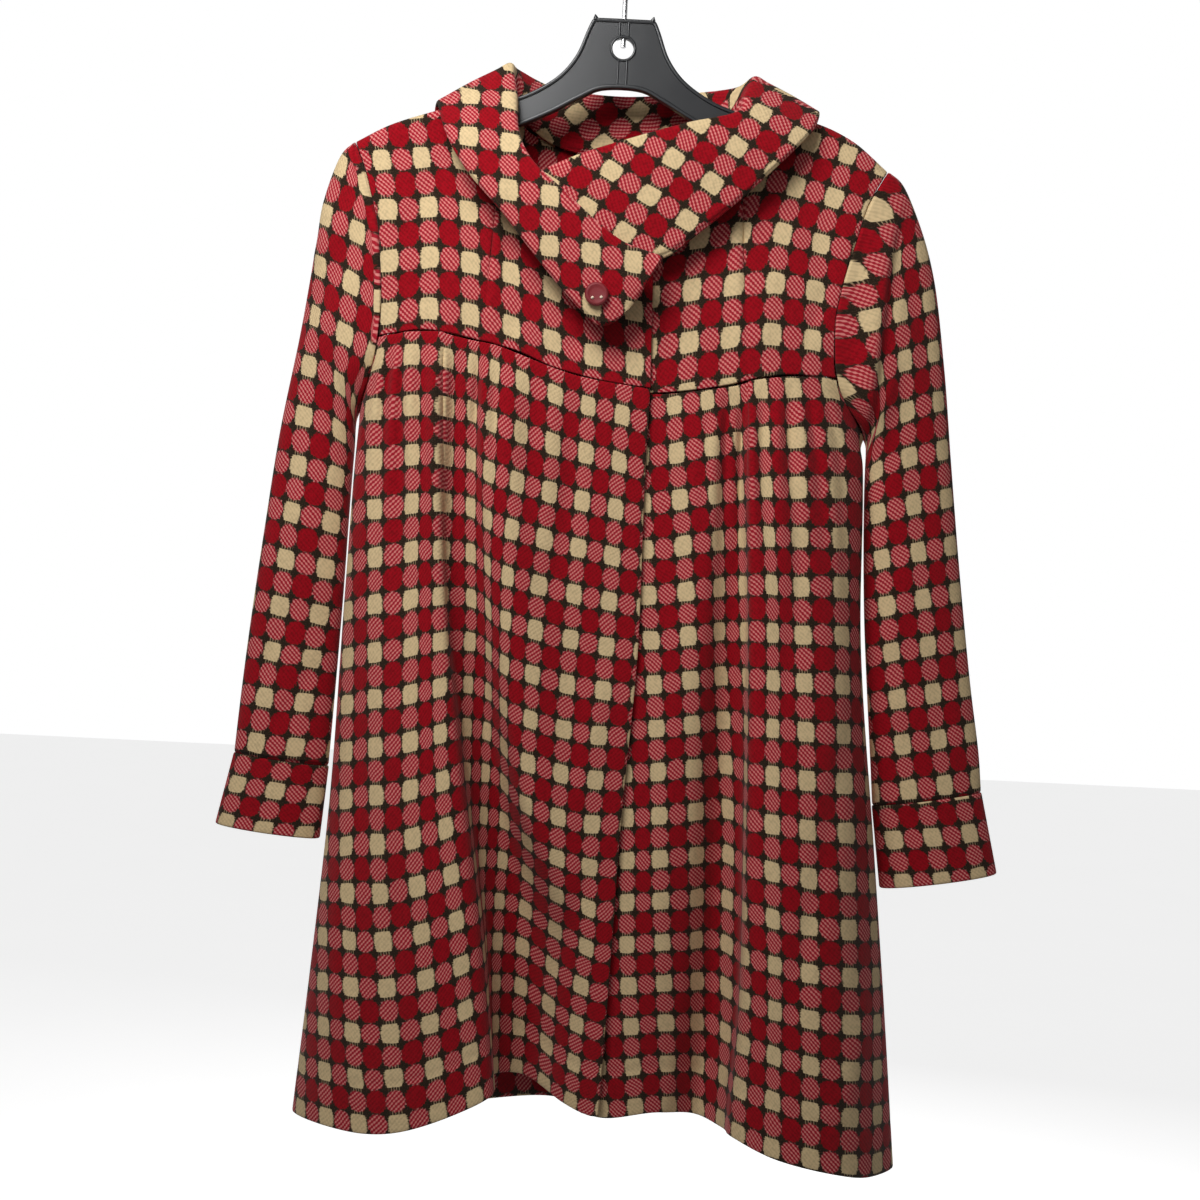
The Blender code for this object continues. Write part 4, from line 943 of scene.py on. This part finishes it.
def sleeve_cells(side, grid):
    """grid's columns go from the inner line round the back, the outer line, the front and back."""
    heights, places, numbers = (np.array(v, float) for v in SLEEVE_COLUMN[side])
    slant_at, slants = SLEEVE_SLANT[side]
    closed = np.concatenate([grid, grid[:, :1]], axis=1)
    along = arcs(closed[..., :2])
    middle = grid.shape[1] // 2
    outer = grid[:, middle]
    made = np.zeros(closed.shape[:2] + (2,))
    for i, ring in enumerate(closed):
        along_row = along[i] - along[i, middle]
        front = ring[middle:]
        x, z = front[:, 0], front[:, 2]
        over = (x - np.interp(z, heights[::-1], places[::-1])) * -side
        at = np.interp(0, over, along_row[middle:])
        z_at = np.interp(at, along_row[middle:], z)
        slant = np.interp(z_at, slant_at[::-1], slants[::-1])
        shift = (np.interp(z_at, heights[::-1], places[::-1])
                 - np.interp(ring[:, 2], heights[::-1], places[::-1]))
        beyond = np.interp(ring[:, 2], outer[::-1, 2], outer[::-1, 0]) - ring[middle, 0]
        beyond = np.where(np.arange(len(ring)) < middle, 2 * beyond, 0)
        moved = (along_row - at) * -side + shift + beyond
        drop = ring[:, 2] + slant * moved * 0.97
        row = np.interp(-drop, -heights, numbers)
        row = row + np.minimum(-drop + heights[0], 0) / PAIR_TALL
        made[i, :, 0] = moved / SLEEVE_PAIR[side]
        made[i, :, 1] = row
    return made


def cuff_cells(side, grid):
    closed = np.concatenate([grid, grid[:, :1]], axis=1)
    along = arcs(closed)
    middle = grid.shape[1] // 2
    outer = closed[:, middle:middle + 1]
    way = -side
    x = outer[..., 0] + (along - along[:, middle:middle + 1]) * way * 0.985
    return lattice(CUFF_CELLS[side], x, closed[..., 2])


def collar_cells(grid, stations):
    """Both front parts have their own weave, and it runs on round the back of the neck."""
    roll = COLLAR_ROLL_COLUMN
    steps = np.linalg.norm(np.diff(grid[:, roll], axis=0), axis=-1)
    along = np.cumsum(np.concatenate([[0], steps]))
    across = arcs(grid)
    across = across - across[:, roll:roll + 1]
    left, right = (lattice(COLLAR_CELLS[part], grid[..., 0], grid[..., 2])
                   for part in ("left", "right"))
    a, b = (np.searchsorted(stations, place) for place in COLLAR_BACK)
    turn = math.radians(COLLAR_BACK_TURN)
    run = (along - along[a])[:, None]
    wide = run * math.cos(turn) - across * math.sin(turn)
    tall = run * math.sin(turn) + across * math.cos(turn)
    back = left[a, roll] + np.stack([wide / PAIR_WIDE, tall / PAIR_TALL], axis=-1)
    right = right + np.round(back[b, roll] - right[b, roll])
    to_back, to_right = (smooth_step((stations - place) / COLLAR_BLEND)[:, None, None]
                         for place in COLLAR_BLENDS)
    return (left * (1 - to_back) + back * to_back) * (1 - to_right) + right * to_right


class Graph:
    """Short calls for building a material's nodes."""

    def __init__(self, name):
        self.made = bpy.data.materials.new(name)
        self.made.use_nodes = True
        self.tree = self.made.node_tree
        self.shader = self.tree.nodes["Principled BSDF"]

    def put(self, socket, value):
        if isinstance(value, bpy.types.NodeSocket):
            self.tree.links.new(value, socket)
        elif isinstance(value, tuple) and len(value) == 3 and socket.type == "RGBA":
            socket.default_value = (*value, 1.0)
        else:
            socket.default_value = value

    def math(self, operation, a, b=0.0, c=0.0):
        node = self.tree.nodes.new("ShaderNodeMath")
        node.operation = operation
        for socket, value in zip(node.inputs, (a, b, c)):
            self.put(socket, value)
        return node.outputs[0]

    def add(self, a, b):
        return self.math("ADD", a, b)

    def sub(self, a, b):
        return self.math("SUBTRACT", a, b)

    def mul(self, a, b):
        return self.math("MULTIPLY", a, b)

    def step(self, value, low, high, to_low=0.0, to_high=1.0):
        node = self.tree.nodes.new("ShaderNodeMapRange")
        node.interpolation_type = "SMOOTHSTEP"
        for name, given in (("Value", value), ("From Min", low), ("From Max", high),
                            ("To Min", to_low), ("To Max", to_high)):
            self.put(node.inputs[name], given)
        return node.outputs["Result"]

    def mix(self, share, a, b):
        node = self.tree.nodes.new("ShaderNodeMix")
        node.data_type = "RGBA"
        self.put(node.inputs[0], share)
        self.put(node.inputs[6], a)
        self.put(node.inputs[7], b)
        return node.outputs[2]

    def noise(self, vector, scale, detail=2.0, rough=0.5):
        node = self.tree.nodes.new("ShaderNodeTexNoise")
        self.put(node.inputs["Vector"], vector)
        self.put(node.inputs["Scale"], scale)
        self.put(node.inputs["Detail"], detail)
        self.put(node.inputs["Roughness"], rough)
        return node.outputs["Fac"]

    def vector(self, x, y, z=0.0):
        node = self.tree.nodes.new("ShaderNodeCombineXYZ")
        for socket, value in zip(node.inputs, (x, y, z)):
            self.put(socket, value)
        return node.outputs[0]

    def set(self, **values):
        """Sets the shader's inputs, whose names have spaces where these have lines."""
        for name, value in values.items():
            self.put(self.shader.inputs[name.replace("_", " ")], value)

    def size(self, value):
        return self.math("ABSOLUTE", value)

    def wave(self, value, count=1.0):
        return self.math("SINE", self.mul(value, FULL_TURN * count))

    def bump(self, height, strength, distance):
        node = self.tree.nodes.new("ShaderNodeBump")
        self.put(node.inputs["Height"], height)
        self.put(node.inputs["Strength"], strength)
        self.put(node.inputs["Distance"], distance)
        self.tree.links.new(node.outputs[0], self.shader.inputs["Normal"])


def wool():
    """Matt napped wool: cream, red and rose cells between dark lines."""
    g = Graph("checked_wool")
    places = g.tree.nodes.new("ShaderNodeUVMap")
    places.uv_map = "cells"
    split = g.tree.nodes.new("ShaderNodeSeparateXYZ")
    g.tree.links.new(places.outputs[0], split.inputs[0])
    x, y = (g.math("MULTIPLY_ADD", out, 2.0, CELLS_AWAY) for out in split.outputs[:2])
    flat = g.vector(x, y)
    scale, far = CELL_WANDER
    x = g.math("MULTIPLY_ADD", g.sub(g.noise(flat, scale), 0.5), far, x)
    y = g.math("MULTIPLY_ADD", g.sub(g.noise(g.vector(y, x), scale), 0.5), far, y)
    column, row = (g.math("FLOOR", g.add(v, 0.5)) for v in (x, y))
    across, down = g.sub(x, column), g.sub(y, row)
    odd_column, odd_row = (g.math("MODULO", v, 2.0) for v in (column, row))
    even_column, even_row = (g.sub(1.0, v) for v in (odd_column, odd_row))
    is_cream = g.mul(even_column, even_row)
    is_red = g.mul(odd_column, odd_row)
    is_rose = g.sub(1.0, g.add(is_cream, is_red))

    def by_kind(cream, red, rose):
        return g.add(g.mul(is_cream, cream), g.add(g.mul(is_red, red), g.mul(is_rose, rose)))

    def threaded(value, count):
        stepped = g.math("FLOOR", g.math("MULTIPLY_ADD", value, count, 0.5))
        stepped = g.math("DIVIDE", stepped, count)
        return g.add(g.mul(value, 1 - THREAD_SHARE), g.mul(stepped, THREAD_SHARE))

    def reached(value, threads, half):
        share = g.math("DIVIDE", g.size(threaded(value, threads)), by_kind(*half))
        return g.math("POWER", share, power)

    power = by_kind(*CELL_POWER)
    wide = reached(across, THREADS[0], CELL_HALF_WIDE)
    tall = reached(down, THREADS[1], CELL_HALF_TALL)
    ragged = g.mul(g.sub(g.noise(flat, 9.0, 1.0), 0.5), RAGGED)
    inside = g.step(g.add(g.add(wide, tall), ragged), *CELL_EDGE)

    # the twill's lines and the finer ones across them
    slant = g.wave(g.math("FRACT", g.add(g.mul(x, 4.0), g.mul(y, -5.0))))
    counter = g.wave(g.math("FRACT", g.add(g.mul(x, 5.0), g.mul(y, 4.0))))
    weave = g.sub(g.add(slant, g.mul(counter, 0.55)), 0.12)
    mottle = g.noise(flat, 5.0, 3.0, 0.6)
    fuzz = g.noise(flat, 22.0, 2.0, 0.6)
    cream = g.mix(g.step(g.add(mottle, g.mul(weave, 0.10)), 0.35, 0.72), CREAM, dim(CREAM, 0.80))
    red = g.mix(g.step(g.add(mottle, g.mul(weave, 0.12)), 0.30, 0.75), RED, dim(RED, 0.66))
    rose = g.mix(g.step(g.add(weave, g.sub(fuzz, 0.5)), -0.35, 0.65), ROSE_RED, ROSE)
    yarn = g.mix(is_cream, g.mix(is_red, rose, red), cream)

    # light threads over the dark lines, below and above cells and at the sides of cream ones
    bridge = g.mul(g.step(g.wave(x, 7.0), 0.25, 0.75), g.step(g.size(across), 0.34, 0.24))
    bridge = g.mul(g.mul(bridge, even_column), g.step(g.size(down), 0.36, 0.42))
    whisker = g.mul(g.step(g.wave(y, 9.0), 0.0, 0.7), g.step(g.size(down), 0.36, 0.28))
    whisker = g.mul(g.mul(whisker, is_cream), g.step(g.size(across), 0.49, 0.45))
    bridge = g.math("MAXIMUM", bridge, whisker)
    dark = g.mix(g.step(fuzz, 0.45, 0.75), DARK, dim(DARK, 2.6))
    ground = g.mix(g.mul(bridge, 0.62), dark, dim(CREAM, 0.62))
    color = g.mix(inside, ground, yarn)
    color = g.mix(g.mul(g.step(fuzz, 0.52, 0.80), 0.10), color, FUZZ)
    g.set(Base_Color=color, Roughness=0.92, Specular_IOR_Level=0.08, Sheen_Weight=0.07,
          Sheen_Roughness=0.55, Sheen_Tint=(1.0, 0.86, 0.80))
    height = g.add(g.mul(inside, 0.6), g.add(g.mul(weave, 0.10), g.mul(fuzz, 0.35)))
    g.bump(height, 0.55, 0.0009)
    return g.made


def dim(color, share):
    return tuple(v * share for v in color)


def plain(name, color, roughness, metallic=0.0, grain=0.04, scale=60.0, bump=0.0):
    """A smooth material with slight unevenness in its colour and roughness."""
    g = Graph(name)
    where = g.tree.nodes.new("ShaderNodeTexCoord").outputs["Object"]
    uneven = g.noise(where, scale, 4.0, 0.6)
    g.set(Base_Color=g.mix(g.step(uneven, 0.3, 0.7), color, dim(color, 1 - grain * 4)))
    g.set(Roughness=g.step(uneven, 0.25, 0.75, roughness - grain, roughness + grain),
          Metallic=metallic)
    if bump:
        g.bump(g.noise(where, scale * 12, 3.0, 0.6), bump, 0.0002)
    return g.made


def hanger_edge():
    """The plate's outline, smooth, as x and z in mm."""
    half = [(20, -75), (23.5, -75.6), (25.6, -78), (29, -86), (36, -104), (47, -119),
            (62, -130.5), (80, -139.5), (104, -146.5), (148, -158), (179, -169.5), (190, -175),
            (194.5, -181), (195, -188), (190, -193), (179, -188.5), (148, -177.5), (110, -169.5),
            (82, -163), (55, -151), (32, -138), (14, -130)]
    ring = np.array(half + [(-x, z) for x, z in reversed(half)], float)
    closed = np.concatenate([ring[-2:], ring, ring[:3]])
    return through(np.arange(len(closed)), closed, np.arange(2, 2 + len(ring), 0.125))


def inward(points):
    """Directions from a closed outline to its inside."""
    ahead = np.roll(points, -1, axis=0) - np.roll(points, 1, axis=0)
    return unit(np.stack([ahead[:, 1], -ahead[:, 0]], axis=-1))


def ribbon(name, points, profile, look):
    """A closed bead along a closed outline: profile gives how far inward and its y."""
    verts = []
    for (x, z), (nx, nz) in zip(points, inward(points)):
        for into, y in profile:
            verts.append(((x + nx * into) * MM, y * MM, (z + nz * into) * MM))
    count, around = len(points), len(profile)
    faces = [(i * around + j, i * around + (j + 1) % around,
              ((i + 1) % count) * around + (j + 1) % around, ((i + 1) % count) * around + j)
             for i in range(count) for j in range(around)]
    data = bpy.data.meshes.new(name)
    data.from_pydata(verts, [], faces)
    data.shade_smooth()
    data.materials.append(look)
    return placed(name, data)


def outline_curve(name, rings, thick, rounding, look):
    """A plate filled between outlines, as a mesh."""
    curve = bpy.data.curves.new(name, "CURVE")
    curve.dimensions = "2D"
    curve.fill_mode = "BOTH"
    curve.extrude = (thick / 2 - rounding) * MM
    curve.bevel_depth = rounding * MM
    curve.bevel_resolution = 2
    for ring in rings:
        line = curve.splines.new("POLY")
        line.points.add(len(ring) - 1)
        for point, (x, z) in zip(line.points, ring):
            point.co = (x * MM, z * MM, 0, 1)
        line.use_cyclic_u = True
    drawn = placed(name + "_outline", curve)
    bpy.context.view_layer.update()
    data = bpy.data.meshes.new_from_object(drawn.evaluated_get(
        bpy.context.evaluated_depsgraph_get()))
    bpy.data.objects.remove(drawn, do_unlink=True)
    data.transform(Matrix.Rotation(math.radians(90), 4, "X"))
    data.materials.clear()
    data.materials.append(look)
    data.shade_smooth()
    data.set_sharp_from_angle(angle=math.radians(40))
    return placed(name, data)


def circle(radius, x, z, count=48):
    angles = np.linspace(0, 2 * math.pi, count, endpoint=False)
    return np.stack([x + radius * np.cos(angles), z + radius * np.sin(angles)], axis=-1)


def tube(name, route, radius, look, closed=False):
    """A round bar along points in mm."""
    curve = bpy.data.curves.new(name, "CURVE")
    curve.dimensions = "3D"
    curve.bevel_depth = radius * MM
    curve.bevel_resolution = 4
    curve.use_fill_caps = True
    line = curve.splines.new("POLY")
    line.points.add(len(route) - 1)
    for point, (x, y, z) in zip(line.points, route):
        point.co = (x * MM, y * MM, z * MM, 1)
    line.use_cyclic_u = closed
    curve.materials.append(look)
    return placed(name, curve)


def turned(name, profile, place, look):
    """A shape turned about Y from a profile of radius and how far it stands to the front."""
    around = 64
    verts, faces = [], []
    for radius, front in profile:
        for k in range(around):
            angle = 2 * math.pi * k / around
            verts.append(((place[0] + radius * math.cos(angle)) * MM, (place[1] - front) * MM,
                          (place[2] + radius * math.sin(angle)) * MM))
    for i in range(len(profile) - 1):
        for k in range(around):
            n = (k + 1) % around
            faces.append((i * around + k, (i + 1) * around + k, (i + 1) * around + n,
                          i * around + n))
    faces.append(tuple(range(around - 1, -1, -1)))
    faces.append(tuple((len(profile) - 1) * around + k for k in range(around)))
    data = bpy.data.meshes.new(name)
    data.from_pydata(verts, [], faces)
    data.shade_smooth()
    data.set_sharp_from_angle(angle=math.radians(60))
    data.materials.append(look)
    return placed(name, data)


def light(name, place, target, size, power):
    data = bpy.data.lights.new(name, "AREA")
    data.shape = "RECTANGLE"
    data.size = size
    data.size_y = size
    data.energy = power
    made = placed(name, data)
    made.location = place
    aim = Vector(target) - Vector(place)
    made.rotation_euler = aim.to_track_quat("-Z", "Y").to_euler()


def upward(count):
    return np.repeat(np.array([[0.0, 0.0, 1.0]]), count, axis=0)


def front_pieces(side, name):
    """The lower front and the yoke of one side."""
    edge, end = ("last", -1) if side < 0 else ("first", 0)
    shares = dense(SKIRT_GRID[0])
    levels = dense(SKIRT_GRID[1], SKIRT_START)
    grid = skirt_grid(side, shares, levels)
    cells = skirt_cells(side, shares, levels, grid)
    grid[:, -1, 1] -= SEAM / 2
    if side > 0:
        grid, cells = grid[:, ::-1], cells[:, ::-1]
    grid = hemmed(creased("front_skirt_" + name, grid), -1)
    seam = grid[:, end, 2]
    skirt = cloth("front_skirt_" + name + "_cloth", grid, cells, CLOTH,
                  fixed={edge: (np.ones(len(seam)), edge_direction(side, seam))})

    shares = dense(YOKE_GRID[0])
    grid = yoke_grid(side, shares, dense(YOKE_GRID[1]) * YOKE_END)
    cells = yoke_cells(side, grid)
    grid[0, :, 1] -= SEAM / 2
    on_top = shoulder_share(side, shares)
    if side > 0:
        grid, cells, on_top = grid[:, ::-1], cells[:, ::-1], on_top[::-1]
    grid = creased("front_yoke_" + name, grid)
    seam = grid[:, end, 2]
    yoke = cloth("front_yoke_" + name + "_cloth", grid, cells, CLOTH,
                 fixed={"top": (on_top, upward(len(on_top))),
                        edge: (np.ones(len(seam)), edge_direction(side, seam))})
    return {"front_skirt_" + name: skirt, "front_yoke_" + name: yoke}


def sleeve_pieces(side, name):
    """The sleeve and the cuff of one side, as rings that start at the inner line."""
    turn = np.linspace(-math.pi, math.pi, SLEEVE_GRID[0], endpoint=False) % FULL_TURN
    grid = sleeve_grid(side, turn, dense(SLEEVE_GRID[1]))
    cells = sleeve_cells(side, grid)
    if side > 0:
        grid = buckled(grid)
    grid = creased("sleeve_" + name, grid, True, side < 0)
    share = (1 - np.cos(turn)) / 2
    top = grid[0, :, 2]
    toward = np.where((turn > math.pi)[:, None], edge_direction(side, top, True),
                      edge_direction(side, top))
    sleeve = cloth("sleeve_" + name + "_cloth", grid, cells, CLOTH, ring=True, flip=side < 0,
                   fixed={"top": (1 - smooth_step((share - CAP_EDGE[0]) / CAP_EDGE[1]), toward)})
    grid = cuff_grid(side, turn, dense(CUFF_LEVELS))
    cuff = cloth("cuff_" + name + "_cloth", grid, cuff_cells(side, grid), CUFF_CLOTH, ring=True,
                 flip=side < 0)
    return {"sleeve_" + name: sleeve, "cuff_" + name: cuff}


def back_piece():
    """The back, its weave counted from the middle column."""
    columns, rows, arm_rows = BACK_GRID
    angles = np.linspace(0, math.pi, arm_rows)
    grid = back_grid(dense(columns), dense(rows)[1:], (1 - np.cos(angles)) / 2)
    grid[:, :, 1] += SEAM / 2
    length = arcs(grid)
    length = length - length[:, columns // 2, None]
    cells = np.stack([-length / PAIR_WIDE, -grid[..., 2] / PAIR_TALL], axis=-1)
    on_top = 1 - smooth_step(grid[0, :, 1] / NECK_DEPTH)
    grid = hemmed(creased("back", grid, flip=True), 1)
    ones = np.ones(len(grid))
    return cloth("back_cloth", grid, cells, CLOTH,
                 fixed={"top": (on_top, upward(len(on_top))),
                        "first": (ones, edge_direction(-1, grid[:, 0, 2], True)),
                        "last": (ones, edge_direction(1, grid[:, -1, 2], True))})


def make_cloth():
    woven = wool()
    made = {}
    for side, name in ((-1, "right"), (1, "left")):
        made.update(front_pieces(side, name))
        made.update(sleeve_pieces(side, name))
    made["back"] = back_piece()
    stations = dense(COLLAR_GRID[0])
    grid = collar_grid(stations, dense(COLLAR_GRID[1]))
    cells = collar_cells(grid, stations)
    made["collar"] = cloth("collar_cloth", creased("collar", grid), cells, COLLAR_CLOTH)
    for node, piece in made.items():
        piece.data.materials.append(woven)
        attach(piece, "root")
        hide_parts(node)


def make_hanger():
    plastic = plain("black_plastic", (0.018, 0.019, 0.021), 0.30, grain=0.03, scale=25,
                    bump=0.10)
    steel = plain("hook_steel", (0.62, 0.62, 0.63), 0.24, 1.0, grain=0.03, scale=40)
    edge = hanger_edge()
    outlines = [edge + inward(edge) * 2.0, circle(8.6, *HOLE)]
    plate = outline_curve("hanger_plate", outlines, 4.4, 0.3, plastic)
    front = [(0.0, -2.6), (0.3, -3.3), (1.0, -3.5), (2.2, -3.5), (2.8, -3.2), (3.1, -2.0)]
    rim = ribbon("hanger_rim", edge, front + [(into, -y) for into, y in reversed(front)],
                 plastic)
    ring = tube("hanger_hole_ring", [(x, -2.2, z) for x, z in circle(9.3, *HOLE)], 1.1,
                plastic, closed=True)
    ribs = [tube("hanger_rib_" + place + "_" + label, [(x, -2.3, top), (x, -2.3, low)], 0.9,
                 plastic)
            for label, x in (("a", -3.4), ("b", 3.4))
            for place, top, low in (("top", -76.5, -88.5), ("low", -107.5, -127))]
    for piece in (plate, rim, ring, *ribs):
        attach(piece, "root")
    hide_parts("hanger")
    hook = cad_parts["hanger_hook"]
    hook.data.materials.clear()
    hook.data.materials.append(steel)


def make_button():
    red = plain("button_red", (0.20, 0.001, 0.006), 0.62, grain=0.05, scale=90)
    cotton = plain("stitch_cotton", (0.80, 0.66, 0.50), 0.85, grain=0.03, scale=300)
    x, y, z = BUTTON_PLACE
    button = turned("button_disc", BUTTON_PROFILE, (x, y, z), red)
    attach(button, "root")
    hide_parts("button")
    for label, dx, dz in (("a", -3.0, -3.2), ("b", 3.6, -2.6)):
        piece = turned("button_stitch_" + label, STITCH_PROFILE, (x + dx, y, z + dz), cotton)
        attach(piece, "root")


def studio_world():
    """A white room as the camera sees it, whose light comes mostly from behind the coat."""
    world = bpy.data.worlds.new("studio")
    world.use_nodes = True
    tree = world.node_tree
    back = tree.nodes["Background"]
    places = tree.nodes.new("ShaderNodeTexCoord")
    split = tree.nodes.new("ShaderNodeSeparateXYZ")
    tree.links.new(places.outputs["Generated"], split.inputs[0])
    ramp = tree.nodes.new("ShaderNodeMapRange")
    tree.links.new(split.outputs["Y"], ramp.inputs["Value"])
    for name, value in (("From Min", 0.1), ("From Max", 0.9), ("To Min", ROOM_BEFORE),
                        ("To Max", ROOM_BEHIND)):
        ramp.inputs[name].default_value = value
    path = tree.nodes.new("ShaderNodeLightPath")
    seen = tree.nodes.new("ShaderNodeMath")
    seen.operation = "MAXIMUM"
    tree.links.new(ramp.outputs["Result"], seen.inputs[0])
    tree.links.new(path.outputs["Is Camera Ray"], seen.inputs[1])
    tree.links.new(seen.outputs[0], back.inputs["Strength"])
    back.inputs["Color"].default_value = (1.0, 1.0, 1.0, 1.0)
    return world


def make_stage():
    """Floor, lamps and the camera before the coat's front."""
    half, level = FLOOR_HALF, FLOOR_Z
    data = bpy.data.meshes.new("floor")
    data.from_pydata([(-half, -half, level), (half, -half, level), (half, half, level),
                      (-half, half, level)], [], [(0, 1, 2, 3)])
    pale = plain("pale_floor", (0.86, 0.86, 0.86), 0.9, grain=0.005, scale=3)
    data.materials.append(pale)
    floor = placed("floor", data)
    floor.visible_diffuse = False
    glow = pale.node_tree.nodes["Principled BSDF"]
    glow.inputs["Emission Color"].default_value = (1.0, 1.0, 1.0, 1.0)
    glow.inputs["Emission Strength"].default_value = FLOOR_GLOW

    scene = bpy.context.scene
    scene.view_settings.view_transform = "Standard"
    scene.world = studio_world()
    light("key", (-0.34, -0.74, 0.28), (0.0, 0.0, -0.45), 0.5, 10.5)
    light("fill", (0.3, -2.0, -0.2), (0.0, 0.0, -0.6), 1.6, 2.4)
    light("behind", (0.5, 1.9, 0.2), (0.0, 0.0, -0.5), 1.2, 22)

    lens = bpy.data.cameras.new("camera")
    lens.lens = CAMERA_LENS
    lens.sensor_width = 36
    camera = placed("camera", lens)
    camera.matrix_world = (Matrix.Translation(CAMERA_PLACE)
                           @ Matrix.Rotation(math.radians(CAMERA_ROLL), 4, "Y")
                           @ Matrix.Rotation(math.radians(90), 4, "X"))
    scene.camera = camera


make_cloth()
make_hanger()
make_button()
make_stage()
